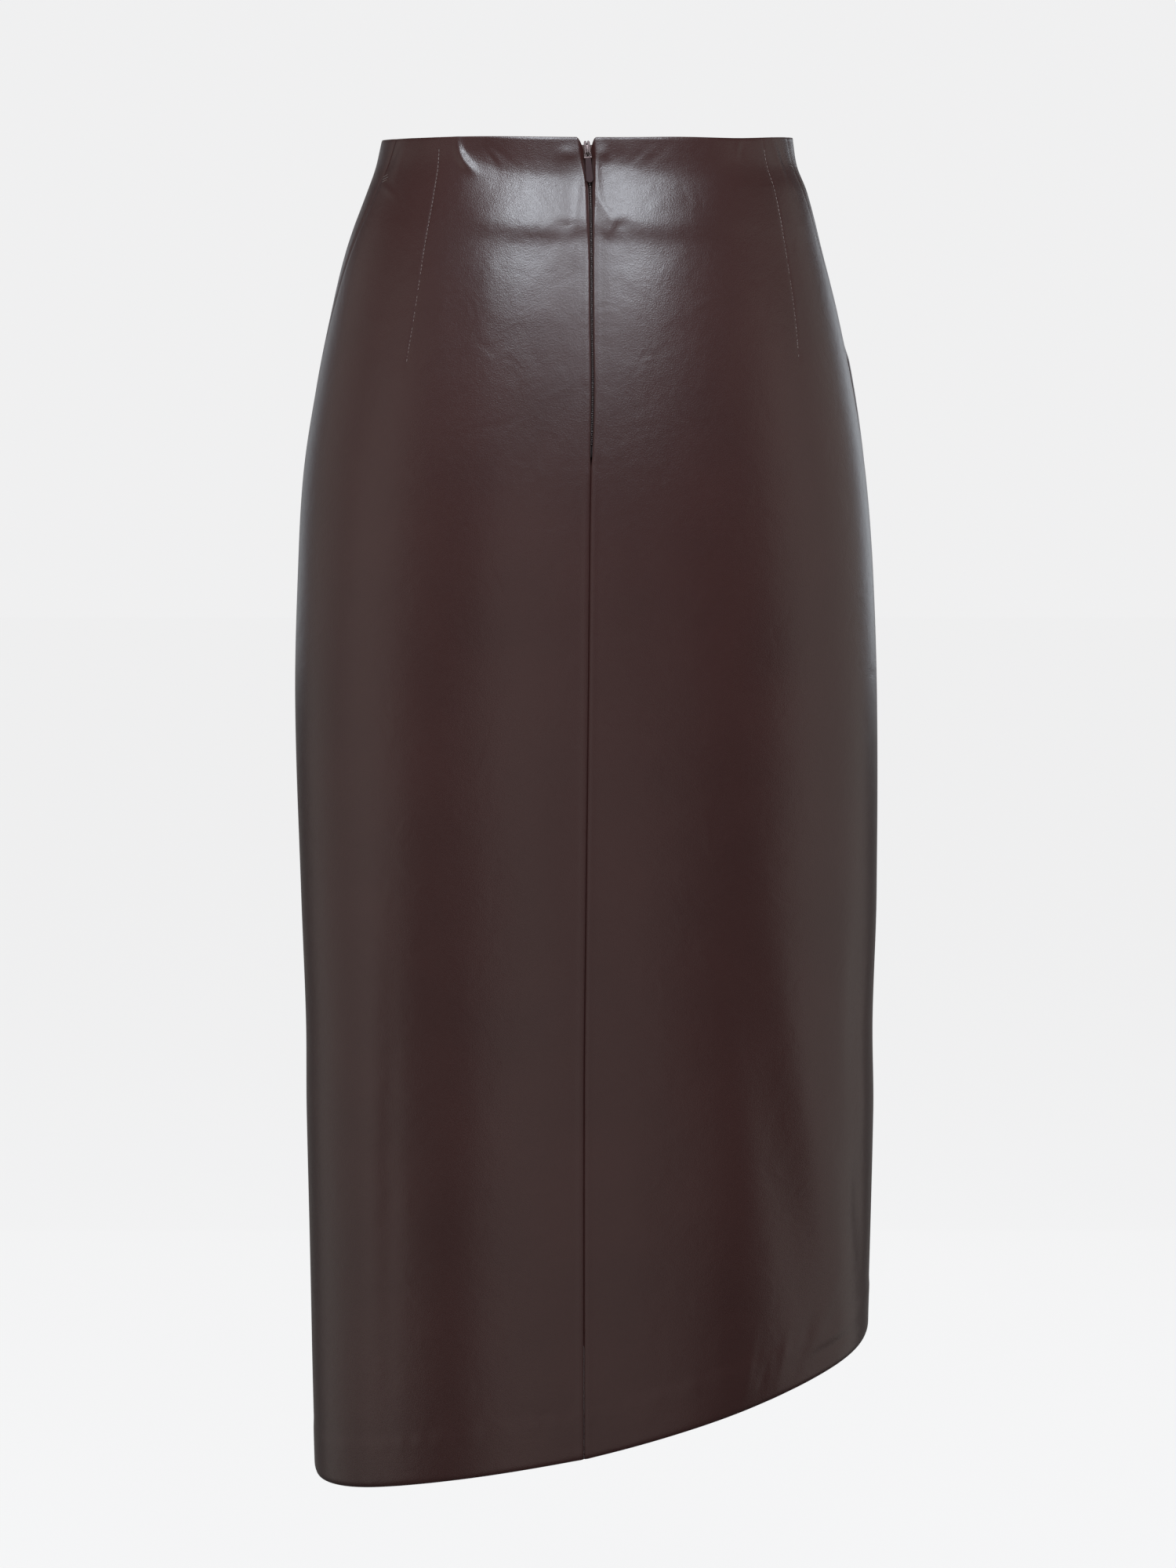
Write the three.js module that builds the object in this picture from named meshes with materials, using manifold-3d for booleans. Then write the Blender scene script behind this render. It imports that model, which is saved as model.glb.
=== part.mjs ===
// A midi pencil skirt in smooth brown leather cloth, filled out as if worn and open at waist and hem.
// Millimetres. +X is the wearer's right, +Y the front, +Z up. The origin is the middle of the waist
// opening, level with the top edge. The back has a centre seam with a concealed zip and two darts,
// the front is one plain panel with two darts, and the hem slants from the left side up to the right.

import * as THREE from "three";
import { mergeVertices } from "three/addons/utils/BufferGeometryUtils.js";
import Module from "manifold-3d";

// Driving sizes of the garment.
const BACK_LENGTH = 790; // centre back, waist edge to hem
const HEM_SLANT = 0.247; // rise of the hem for each millimetre towards the wearer's right
const HEM_BOW = 0.00023; // how it bows up towards the right
const HEM_LIFT = 3.1; // and how far it lifts halfway to the left side
const HEM_WAVE = 60; // width over which that lift comes and goes
const CLOTH = 1.2; // one layer of leather cloth
const FOLDED = 1.0; // the second layer, where the cloth is turned in
const TURN_IN = 50; // depth of the turned-in layer at the waist
const HEM_TURN_UP = 28; // depth of the turned-up layer at the hem
const SEAM_GAP = 0.3; // between two pieces that are sewn together
const LEVEL_TO = 300; // rows above this depth are level, those below fan out to the slanted hem
const TOP_FADE = 60; // depth over which the rows level out below the uneven top edge

// The waist edge isn't quite level: its rise above the origin, with two soft humps and a lift at the right.
const WAIST_EDGE = {
  rise: 0.5,
  humps: [
    { x: -67, width: 40, rise: 0.8 },
    { x: 55, width: 22, rise: 0.4 },
  ],
  side: { from: 84, to: 126, rise: 1.6 },
};

// The zip.
const ZIP_CLOSED = -190; // below this the two backs meet in a plain seam
const COIL_HALF = 0.85;
const COIL_SINK = 0.5; // face of the coil below the rolled edges
const COIL_FROM = 7; // rows that the coil and the tapes run between
const COIL_TO = 180;
const TAPE_FROM = 3;
const TAPE_TO = 186;
const TAPE_THICK = 1.0;
const HEAD_Z = -7.5; // height of the slider's own origin
const HEAD_LEAN = 4.6; // degrees, the way the zip leans at its top
const NOTCH = { depth: 6.8, width: 3.7, power: 1.8 }; // the rounded top corners at the zip

// Horizontal sections: half widths to each side, and depths behind and before the side seams.
const SECTIONS = [
  { z: 0, left: 125.0, right: 124.2, back: 86.0, front: 90.0, square: 2.12 },
  { z: -15, left: 128.5, right: 127.1, back: 88.6, front: 93.2, square: 2.12 },
  { z: -30, left: 134.0, right: 133.0, back: 91.5, front: 96.0, square: 2.12 },
  { z: -65, left: 147.0, right: 142.2, back: 99.0, front: 102.0, square: 2.12 },
  { z: -105, left: 157.0, right: 152.5, back: 107.5, front: 106.5, square: 2.12 },
  { z: -150, left: 166.5, right: 162.0, back: 115.0, front: 109.5, square: 2.14 },
  { z: -200, left: 174.5, right: 170.0, back: 120.0, front: 111.5, square: 2.16 },
  { z: -260, left: 178.6, right: 175.4, back: 121.5, front: 113.0, square: 2.18 },
  { z: -340, left: 181.5, right: 178.9, back: 120.5, front: 113.0, square: 2.2 },
  { z: -460, left: 178.8, right: 180.0, back: 119.0, front: 112.0, square: 2.2 },
  { z: -540, left: 176.2, right: 177.8, back: 118.6, front: 112.0, square: 2.2 },
  { z: -600, left: 176.4, right: 179.2, back: 118.5, front: 112.0, square: 2.2 },
  { z: -735, left: 175.0, right: 176.8, back: 118.0, front: 112.0, square: 2.2 },
  { z: -850, left: 173.4, right: 173.8, back: 118.0, front: 112.0, square: 2.2 },
];

// The centre back seam wanders a little, and each side seam starts behind the side and drops to it.
const CENTRE_BACK = [
  { z: 0, x: -1.0 },
  { z: -30, x: 1.4 },
  { z: -110, x: 2.3 },
  { z: -150, x: 2.7 },
  { z: -205, x: 1.4 },
  { z: -320, x: 0.3 },
  { z: -470, x: -1.4 },
  { z: -566, x: -2.3 },
  { z: -850, x: -2.4 },
];
const SIDE_SEAMS = [
  { z: 0, left: 72, right: 78 },
  { z: -60, left: 79, right: 83 },
  { z: -130, left: 86, right: 88 },
  { z: -250, left: 90, right: 90 },
  { z: -850, left: 90, right: 90 },
];
const ZIP_GAP = [
  { z: 0, half: 2.15 },
  { z: -14, half: 2.15 },
  { z: -40, half: 1.9 },
  { z: -75, half: 1.6 },
  { z: -120, half: 1.35 },
  { z: -181, half: 1.1 },
  { z: -190, half: 0.15 },
];

// Darts: where they start at the waist and end, as shares of the half width, and how they bow out.
const DARTS = {
  back_left: { waist: 0.7, tip: 0.657, length: 131, bow: -3.3 },
  back_right: { waist: 0.833, tip: 0.792, length: 128, bow: 1.7 },
  front_left: { waist: 0.52, tip: 0.46, length: 95, bow: 0 },
  front_right: { waist: 0.52, tip: 0.46, length: 95, bow: 0 },
};

// Relief of the outer face: depths and heights, and the widths over which they fade.
const SEAM_ROLL = { depth: 0.7, width: 2.2 };
const ZIP_ROLL = { depth: 1.3, width: 2.6, deeper: 0.9, wider: 1.4, fade: 32 }; // more at the top
const DART_GROOVE = { depth: 0.45, width: 1.1, fadeBefore: 12, fadeAfter: 4 };
const WAIST_BAND = { proud: 0.7, fadeBefore: 5, fadeAfter: 3 };
const WAIST_ROLL = { height: 0.5, at: 5, width: 4, rim: 1.5 };
const WAIST_DIP = { depth: 0.45, at: 16, width: 6 };
const WAIST_LEDGE = { depth: 0.5, below: 3, width: 4 };
const HEM_BAND = { proud: 0.35, fadeBefore: 6, fadeAfter: 2 };
const HEM_RIM = { depth: 0.5, width: 2 };
const FOLD = { fade: 3, thinner: 0.6, rim: 1.5 }; // where the second layer ends, and at the folded edges
// The front stands proud of the back at the right hip.
const HIP_STEP = { from: -127, soft: 6, to: -235, fade: 90, proud: 1.2, width: 22 };
// Soft flutes of the lower half, which grow, then ease off, over the given heights.
const FLUTE = { grow: 120, easeFrom: 20, easeTo: 120, easeBy: 0.4, frontShare: 0.8 };
const FLUTES = [
  { x: 152, width: 26, depth: 1.6, from: -430, to: -760 },
  { x: -146, width: 30, depth: 1.5, from: -420, to: -820 },
  { x: 92, width: 40, depth: 1.0, from: -480, to: -760 },
  { x: -66, width: 44, depth: 1.2, from: -500, to: -800 },
];

// Depths of the rows below the waist edge, measured at the centre back.
const ROWS = [
  0, 3, 7, 12, 18, 26, 36, 44, 48, 52, 57, 66, 82, 102, 128, 145, 162, 180, 186, 205, 245, 300, 370,
  450, 530, 610, 680, 730, 758, 763, 776, 786, 790,
];

const COLOURS = { leather: 0x3f2b29, tape: 0x2c2021, coil: 0x3a2a2b, metal: 0x5d4a4c };

const clamp = (value, low, high) => Math.min(high, Math.max(low, value));
const ease = (low, high, value) => {
  const t = clamp((value - low) / (high - low), 0, 1);
  return t * t * (3 - 2 * t);
};
const bell = (distance, width) => Math.exp(-((distance / width) ** 2));

// A column of a table at height z, as a smooth curve through its rows.
function at(table, key, z) {
  const last = table.length - 1;
  const height = clamp(z, table[last].z, table[0].z);
  let i = 0;
  while (i < last - 1 && height < table[i + 1].z) i += 1;
  const slope = (k) => {
    const a = table[Math.max(0, k - 1)];
    const b = table[Math.min(last, k + 1)];
    return (b[key] - a[key]) / (b.z - a.z);
  };
  const span = table[i + 1].z - table[i].z;
  const t = (height - table[i].z) / span;
  const rise = table[i + 1][key] - table[i][key];
  const bend = (1 - t) * (slope(i) * span - rise) - t * (slope(i + 1) * span - rise);
  return table[i][key] + t * rise + t * (1 - t) * bend;
}

// A point of the bare form. The angle runs from the centre back (0) through the wearer's right (90).
function formPoint(angle, z) {
  const s = Math.sin(angle);
  const c = Math.cos(angle);
  const width = at(SECTIONS, s < 0 ? "left" : "right", z);
  const depth = at(SECTIONS, c < 0 ? "front" : "back", z);
  const n = at(SECTIONS, "square", z);
  const radius = (Math.abs(s / width) ** n + Math.abs(c / depth) ** n) ** (-1 / n);
  return new THREE.Vector3(radius * s, -radius * c, z);
}

const TURN_STEP = 0.004;
function formNormal(angle, z) {
  const along = formPoint(angle + TURN_STEP, z).sub(formPoint(angle - TURN_STEP, z));
  const up = formPoint(angle, Math.min(0, z + 1)).sub(formPoint(angle, Math.min(0, z + 1) - 2));
  return along.cross(up).normalize();
}

const halfWidth = (side, z) => at(SECTIONS, side < 0 ? "left" : "right", z);

// The angle at which the back (or front) half of a section passes through x.
function angleOfX(x, z, front = false) {
  const n = at(SECTIONS, "square", z);
  const share = Math.max(0, 1 - Math.abs(x / halfWidth(x, z)) ** n) ** (1 / n);
  const depth = share * at(SECTIONS, front ? "front" : "back", z);
  return Math.atan2(x, front ? -depth : depth);
}

const sideAngle = (side, z) =>
  ((side < 0 ? -1 : 1) * at(SIDE_SEAMS, side < 0 ? "left" : "right", z) * Math.PI) / 180;
const zipHalf = (z) => (z < ZIP_CLOSED ? SEAM_GAP / 2 : at(ZIP_GAP, "half", z));

function dartX(dart, side, z) {
  const t = clamp(-z / dart.length, 0, 1);
  const share = dart.waist + (dart.tip - dart.waist) * t;
  return side * (share * halfWidth(side, z) + dart.bow * Math.sin(Math.PI * t));
}

// How far the outer face stands off the bare form. edge is the distance to the centre back edge
// (or a large number on the front), seam the distance to the side seam.
function relief({ x, z, drop, length, edge, seam, dart, side }) {
  const zipped = z > ZIP_CLOSED;
  const roll = zipped ? ZIP_ROLL : SEAM_ROLL;
  const more = zipped ? bell(drop, ZIP_ROLL.fade) : 0;
  const rollWidth = roll.width + ZIP_ROLL.wider * more;
  let out = -(roll.depth + ZIP_ROLL.deeper * more) * bell(Math.max(0, edge), rollWidth);
  out -= SEAM_ROLL.depth * bell(Math.max(0, seam), SEAM_ROLL.width);
  const sewn = 1 - ease(dart.length - DART_GROOVE.fadeBefore, dart.length + DART_GROOVE.fadeAfter, -z);
  out -= DART_GROOVE.depth * sewn * bell(x - dartX(dart, side, z), DART_GROOVE.width);
  out += WAIST_BAND.proud * (1 - ease(TURN_IN - WAIST_BAND.fadeBefore, TURN_IN + WAIST_BAND.fadeAfter, drop));
  out -= WAIST_LEDGE.depth * bell(drop - TURN_IN - WAIST_LEDGE.below, WAIST_LEDGE.width);
  out += WAIST_ROLL.height * (bell(drop - WAIST_ROLL.at, WAIST_ROLL.width) - 2 * bell(drop, WAIST_ROLL.rim));
  out -= WAIST_DIP.depth * bell(drop - WAIST_DIP.at, WAIST_DIP.width);
  const above = length - drop;
  out += HEM_BAND.proud * ease(HEM_TURN_UP + HEM_BAND.fadeBefore, HEM_TURN_UP - HEM_BAND.fadeAfter, above);
  out -= HEM_RIM.depth * bell(above, HEM_RIM.width);
  return out;
}

// Soft flutes hang in the lower half, on the back and in like places on the front.
function flute(x, z, front) {
  let out = 0;
  for (const f of FLUTES) {
    const grown = ease(f.from, f.from - FLUTE.grow, z);
    const eased = 1 - FLUTE.easeBy * ease(f.to + FLUTE.easeFrom, f.to - FLUTE.easeTo, z);
    out += f.depth * grown * eased * bell(front ? x + f.x * FLUTE.frontShare : x - f.x, f.width);
  }
  return out;
}

function waistRise(x) {
  const { rise, humps, side } = WAIST_EDGE;
  const hump = humps.reduce((sum, h) => sum + h.rise * bell(x - h.x, h.width), 0);
  return rise + hump + side.rise * ease(side.from, side.to, x);
}

function hemZ(x) {
  const bow = x > 0 ? HEM_BOW * x * x : HEM_LIFT * Math.sin(-x / HEM_WAVE);
  return -BACK_LENGTH + HEM_SLANT * x + bow;
}

function rowZ(drop, top, length) {
  const level = -drop + top * clamp(1 - drop / TOP_FADE, 0, 1);
  if (drop <= LEVEL_TO) return level;
  return -LEVEL_TO - ((drop - LEVEL_TO) * (length - LEVEL_TO)) / (BACK_LENGTH - LEVEL_TO);
}

const notch = (edge) => -NOTCH.depth * (1 - clamp(edge / NOTCH.width, 0, 1)) ** NOTCH.power;

// Steps between two values, leaving both ends out.
const between = (low, high, count) =>
  Array.from({ length: count }, (_, k) => low + ((high - low) * (k + 1)) / (count + 1));

// Angles of the columns of one back panel at height z, from the centre back edge to the side seam.
const EDGE_STEPS = [0, 1.3, 2.8, 4.6, 7, 11];
const DART_STEPS = [-3.5, -1.3, 0, 1.3, 3.5];
const SIDE_STEPS = [9, 3, 1];
const COLUMNS = { backMiddle: 6, backSide: 5, frontSide: 8, frontMiddle: 5 }; // between those steps
function backAngles(side, dart, z) {
  const cut = at(CENTRE_BACK, "x", z) + side * zipHalf(z);
  const near = EDGE_STEPS.map((d) => angleOfX(cut + side * d, z));
  const middle = dartX(dart, side, z);
  const darts = DART_STEPS.map((d) => angleOfX(middle + side * d, z));
  const end = sideAngle(side, z);
  const perMm = side / halfWidth(side, z);
  const sides = SIDE_STEPS.map((d) => end - d * perMm);
  return [
    ...near,
    ...between(near[near.length - 1], darts[0], COLUMNS.backMiddle),
    ...darts,
    ...between(darts[darts.length - 1], sides[0], COLUMNS.backSide),
    ...sides,
    end - (SEAM_GAP / 2) * perMm,
  ];
}

// The front panel's columns, from the wearer's left seam round the front to the right seam.
function frontAngles(z) {
  const half = (side) => {
    const start = sideAngle(side, z);
    const perMm = side / halfWidth(side, z);
    const sides = [SEAM_GAP / 2, ...SIDE_STEPS.slice().reverse()].map((d) => start + d * perMm);
    const middle = dartX(side < 0 ? DARTS.front_left : DARTS.front_right, side, z);
    const darts = DART_STEPS.map((d) => angleOfX(middle - side * d, z, true));
    return [...sides, ...between(sides[sides.length - 1], darts[0], COLUMNS.frontSide), ...darts];
  };
  const right = half(1);
  const left = half(-1).map((a) => a + 2 * Math.PI);
  const centre = between(right[right.length - 1], left[left.length - 1], COLUMNS.frontMiddle);
  return [...right, ...centre, ...left.reverse()];
}

// The thickness of the wall: one layer, with a second where it is turned in at the waist and the hem.
function wallAt(drop, above) {
  const turnedIn = 1 - ease(TURN_IN - FOLD.fade, TURN_IN + FOLD.fade, drop);
  const turnedUp = 1 - ease(HEM_TURN_UP - FOLD.fade, HEM_TURN_UP + FOLD.fade, above);
  const rim = 1 - FOLD.thinner * Math.max(bell(drop, FOLD.rim), bell(above, FOLD.rim));
  return CLOTH + FOLDED * Math.max(turnedIn, turnedUp) * rim;
}

// The outer and inner face points of a panel, row by row.
function panelPoints({ angles, dartOf, sideOf, isFront }) {
  const grid = ROWS.map(() => []);
  for (let j = 0; j < angles(0).length; j += 1) {
    const rise = waistRise(formPoint(angles(0)[j], 0).x);
    const length = -hemZ(formPoint(angles(-BACK_LENGTH)[j], -BACK_LENGTH).x);
    const fromEdge = isFront ? NOTCH.width : EDGE_STEPS[Math.min(j, EDGE_STEPS.length - 1)];
    ROWS.forEach((row, i) => {
      const z = rowZ(row, notch(fromEdge) + rise, length);
      const angle = angles(z)[j];
      const base = formPoint(angle, z);
      const side = sideOf(base.x);
      const drop = row <= LEVEL_TO ? row : -z;
      const edge = isFront ? Infinity : side * (base.x - at(CENTRE_BACK, "x", z)) - zipHalf(z);
      const away = angle - sideAngle(side, z);
      const seam = Math.abs(Math.atan2(Math.sin(away), Math.cos(away))) * halfWidth(side, z) - SEAM_GAP / 2;
      let out = relief({ x: base.x, z, drop, length, edge, seam, dart: dartOf(side), side });
      out += flute(base.x, z, isFront);
      if (isFront && side > 0) {
        const begin = ease(HIP_STEP.from + HIP_STEP.soft, HIP_STEP.from - HIP_STEP.soft, z);
        const reach = begin * ease(HIP_STEP.to, HIP_STEP.to + HIP_STEP.fade, z);
        out += HIP_STEP.proud * reach * bell(seam, HIP_STEP.width);
      }
      const wall = wallAt(drop, length - drop);
      const normal = formNormal(angle, z);
      grid[i].push({
        outer: base.clone().addScaledVector(normal, out),
        inner: base.clone().addScaledVector(normal, out - wall),
        normal,
      });
    });
  }
  return grid;
}

// A closed wall between two grids of points.
function wallGeometry(outer, inner) {
  const rows = outer.length;
  const columns = outer[0].length;
  const points = [...outer.flat(), ...inner.flat()];
  const skip = rows * columns;
  const faces = [];
  const quad = (a, b, c, d) => faces.push(a, b, c, a, c, d);
  for (let i = 0; i < rows - 1; i += 1) {
    for (let j = 0; j < columns - 1; j += 1) {
      const k = i * columns + j;
      quad(k, k + columns, k + columns + 1, k + 1);
      quad(skip + k, skip + k + 1, skip + k + columns + 1, skip + k + columns);
    }
  }
  for (let j = 0; j < columns - 1; j += 1) {
    const k = (rows - 1) * columns + j;
    quad(j, j + 1, skip + j + 1, skip + j);
    quad(k, skip + k, skip + k + 1, k + 1);
  }
  for (let i = 0; i < rows - 1; i += 1) {
    const k = i * columns;
    const e = k + columns - 1;
    quad(k, skip + k, skip + k + columns, k + columns);
    quad(e, e + columns, skip + e + columns, skip + e);
  }
  return facingOut(points, faces);
}

// Turns the faces round if they point inwards.
function facingOut(points, faces) {
  let volume = 0;
  for (let k = 0; k < faces.length; k += 3) {
    const [a, b, c] = [points[faces[k]], points[faces[k + 1]], points[faces[k + 2]]];
    volume += a.dot(b.clone().cross(c));
  }
  if (volume < 0) {
    for (let k = 0; k < faces.length; k += 3) [faces[k + 1], faces[k + 2]] = [faces[k + 2], faces[k + 1]];
  }
  const geometry = new THREE.BufferGeometry().setFromPoints(points);
  geometry.setIndex(faces);
  geometry.computeVertexNormals();
  return geometry;
}

function makeMesh(name, geometry, color, roughness, metalness = 0) {
  const mesh = new THREE.Mesh(geometry, new THREE.MeshStandardMaterial({ color, roughness, metalness }));
  mesh.name = name;
  return mesh;
}

const pick = (grid, key) => grid.map((row) => row.map((p) => p[key]));

function backGrid(name, side) {
  const dart = DARTS[name];
  return panelPoints({
    angles: (z) => backAngles(side, dart, z),
    dartOf: () => dart,
    sideOf: () => side,
    isFront: false,
  });
}

const frontGrid = () =>
  panelPoints({
    angles: frontAngles,
    dartOf: (side) => (side < 0 ? DARTS.front_left : DARTS.front_right),
    sideOf: (x) => (x < 0 ? -1 : 1),
    isFront: true,
  });

const panel = (name, grid) =>
  makeMesh(name, wallGeometry(pick(grid, "outer"), pick(grid, "inner")), COLOURS.leather, 0.38);

const moved = (point, normal, by) => point.clone().addScaledVector(normal, by);

// One half of the zip tape, made from the inner points of its panel and moved in.
function zipTape(name, grid, side) {
  const rows = grid.slice(ROWS.indexOf(TAPE_FROM), ROWS.indexOf(TAPE_TO) + 1);
  const face = (depth) =>
    rows.map((row) => {
      const points = row.slice(0, EDGE_STEPS.length).map((p) => moved(p.inner, p.normal, -depth));
      const edge = points[0].clone();
      edge.x = at(CENTRE_BACK, "x", edge.z) + (side * SEAM_GAP) / 2;
      return [edge, ...points];
    });
  return makeMesh(name, wallGeometry(face(SEAM_GAP), face(SEAM_GAP + TAPE_THICK)), COLOURS.tape, 0.8);
}

// The closed coil, a plain bar on the tapes between the rolled edges of the two backs.
function zipCoil(left, right) {
  const pairs = ROWS.map((drop, i) => ({ drop, a: left[i][0], b: right[i][0] }));
  const inside = pairs.filter((row) => row.drop >= COIL_FROM && row.drop <= COIL_TO);
  const face = (key, sink) =>
    inside.map(({ a, b }) => {
      const middle = a[key].clone().add(b[key]).multiplyScalar(0.5);
      const across = b[key].clone().sub(a[key]);
      const half = Math.min(COIL_HALF, across.length() / 2 - SEAM_GAP);
      across.normalize();
      return [-half, half].map((d) => moved(moved(middle, across, d), a.normal, -sink));
    });
  return makeMesh("zip_coil", wallGeometry(face("outer", COIL_SINK), face("inner", 0)), COLOURS.coil, 0.5);
}

// A closed outline of [x, y] corners, extruded by depth and centred on its plane.
function plate(outline, holes, depth) {
  const shape = new THREE.Shape(outline.map(([x, y]) => new THREE.Vector2(x, y)));
  for (const hole of holes) shape.holes.push(new THREE.Path(hole.map(([x, y]) => new THREE.Vector2(x, y))));
  const geometry = new THREE.ExtrudeGeometry(shape, { depth, bevelEnabled: false });
  return geometry.translate(0, 0, -depth / 2);
}

const wasm = await Module();
wasm.setup();

function solidOf(geometry) {
  const bare = geometry.clone();
  bare.deleteAttribute("normal");
  bare.deleteAttribute("uv");
  const merged = mergeVertices(bare, 1e-4);
  return new wasm.Manifold(
    new wasm.Mesh({
      numProp: 3,
      vertProperties: merged.attributes.position.array,
      triVerts: new Uint32Array(merged.index.array),
    }),
  );
}

function geometryOf(solid) {
  const mesh = solid.getMesh();
  const geometry = new THREE.BufferGeometry();
  geometry.setAttribute("position", new THREE.BufferAttribute(new Float32Array(mesh.vertProperties), 3));
  geometry.setIndex(new THREE.BufferAttribute(new Uint32Array(mesh.triVerts), 1));
  geometry.computeVertexNormals();
  return geometry;
}

// The slider: a narrow body between the panels' edges, and a bridge that the pull hangs on. One side
// of the body's outline, and the bridge's profile and its window, where out is the way out of the cloth.
const BODY_SIDE = [
  { half: 1.1, z: -4.2 },
  { half: 1.8, z: -3.5 },
  { half: 1.8, z: 5.3 },
  { half: 1.1, z: 6.0 },
  { half: 0.5, z: 6.0 },
  { half: 0, z: 4.4 },
];
const BODY_FACE = 0.2;
const BODY_BACK = -2.4;
const BRIDGE_WIDTH = 1.3;
const BRIDGE_PROFILE = [
  { out: 0, z: -3.0 },
  { out: 1.7, z: -3.0 },
  { out: 2.6, z: -2.1 },
  { out: 2.6, z: 3.3 },
  { out: 1.7, z: 4.2 },
  { out: 0, z: 4.2 },
];
const BRIDGE_WINDOW = [
  { out: 0.25, z: -2.2 },
  { out: 0.25, z: 1.15 },
  { out: 1.8, z: 1.15 },
  { out: 1.8, z: -2.2 },
];

// Both sides of an outline from one side of it; a row with no half width is used once.
function mirrored(rows) {
  const right = rows.map(({ half, z }) => [half, z]);
  const left = rows.filter(({ half }) => half > 0).map(({ half, z }) => [-half, z]);
  return [...right, ...left.reverse()];
}

function sliderGeometry() {
  const body = plate(mirrored(BODY_SIDE), [], BODY_FACE - BODY_BACK);
  body.rotateX(Math.PI / 2).translate(0, -(BODY_FACE + BODY_BACK) / 2, 0);
  const pairs = (rows) => rows.map(({ out, z }) => [out, z]);
  const bridge = plate(pairs(BRIDGE_PROFILE), [pairs(BRIDGE_WINDOW)], BRIDGE_WIDTH);
  // The profile's first axis is the way out of the cloth, and its second is up.
  const turn = new THREE.Matrix4().makeBasis(
    new THREE.Vector3(0, -1, 0),
    new THREE.Vector3(0, 0, 1),
    new THREE.Vector3(-1, 0, 0),
  );
  bridge.applyMatrix4(turn);
  return geometryOf(solidOf(body).add(solidOf(bridge)));
}

// The pull: a loop round the bridge, widening to a crossbar, and a tongue below it. Heights from its pivot.
const PIVOT = { z: -0.75, out: 1.05 };
const PULL_THICK = 0.9;
const PULL_SIDE = [
  { half: 1.3, z: 0.45 },
  { half: 1.75, z: 0.05 },
  { half: 2.5, z: -2.7 },
  { half: 2.5, z: -3.4 },
  { half: 1.9, z: -3.9 },
  { half: 1.8, z: -4.4 },
  { half: 2.15, z: -17.1 },
  { half: 1.2, z: -18.0 },
];
const PULL_WINDOW = [
  { half: 1.6, z: -2.75 },
  { half: 0.9, z: -0.45 },
];
function pullGeometry() {
  const pull = plate(mirrored(PULL_SIDE), [mirrored(PULL_WINDOW)], PULL_THICK);
  return pull.rotateX(Math.PI / 2);
}

const HEAD_REACH = 8; // the head follows the cloth's slope over this height, up and down
function zipHead() {
  const head = new THREE.Group();
  const lower = at(SECTIONS, "back", HEAD_Z - HEAD_REACH);
  const slope = Math.atan2(lower - at(SECTIONS, "back", HEAD_Z + HEAD_REACH), 2 * HEAD_REACH);
  head.position.set(at(CENTRE_BACK, "x", HEAD_Z), -at(SECTIONS, "back", HEAD_Z), HEAD_Z);
  head.rotation.set(-slope, (-HEAD_LEAN * Math.PI) / 180, 0, "XYZ");
  const slider = makeMesh("zip_slider", sliderGeometry(), COLOURS.metal, 0.35, 0.8);
  const pull = makeMesh("zip_pull", pullGeometry(), COLOURS.metal, 0.4, 0.6);
  pull.position.set(0, -PIVOT.out, PIVOT.z);
  head.add(slider, pull);
  return head;
}

const leftGrid = backGrid("back_left", -1);
const rightGrid = backGrid("back_right", 1);

const skirt = new THREE.Group();
skirt.name = "skirt";
skirt.add(
  panel("back_left", leftGrid),
  panel("back_right", rightGrid),
  panel("front", frontGrid()),
  zipTape("zip_tape_left", leftGrid, -1),
  zipTape("zip_tape_right", rightGrid, 1),
  zipCoil(leftGrid, rightGrid),
  zipHead(),
);

export default skirt;
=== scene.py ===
import math

import bpy
import numpy as np
from mathutils import Matrix, Vector


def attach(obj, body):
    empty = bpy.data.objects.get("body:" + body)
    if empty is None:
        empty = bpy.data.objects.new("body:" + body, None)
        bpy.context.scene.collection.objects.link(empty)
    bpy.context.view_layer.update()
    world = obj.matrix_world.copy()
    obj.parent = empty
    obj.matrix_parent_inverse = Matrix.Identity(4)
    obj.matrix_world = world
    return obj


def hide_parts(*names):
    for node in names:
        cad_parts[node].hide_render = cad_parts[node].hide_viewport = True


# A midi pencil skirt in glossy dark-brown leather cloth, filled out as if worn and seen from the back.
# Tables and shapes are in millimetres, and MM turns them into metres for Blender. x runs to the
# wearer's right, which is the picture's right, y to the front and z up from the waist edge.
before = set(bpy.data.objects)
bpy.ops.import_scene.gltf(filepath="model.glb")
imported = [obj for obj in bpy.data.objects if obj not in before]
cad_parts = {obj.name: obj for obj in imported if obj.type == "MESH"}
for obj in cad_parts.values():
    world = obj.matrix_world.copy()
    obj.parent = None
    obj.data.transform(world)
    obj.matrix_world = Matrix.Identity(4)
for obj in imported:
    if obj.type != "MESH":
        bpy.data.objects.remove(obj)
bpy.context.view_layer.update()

bl_info = {
    "name": "Leather skirt",
    "version": (1, 0, 0),
    "blender": (4, 5, 0),
    "location": "3D View > Sidebar > Skirt",
    "description": "Builds a leather pencil skirt with its zip, darts and hem around a packed frame",
    "category": "Add Mesh",
}

MM = 0.001

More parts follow.
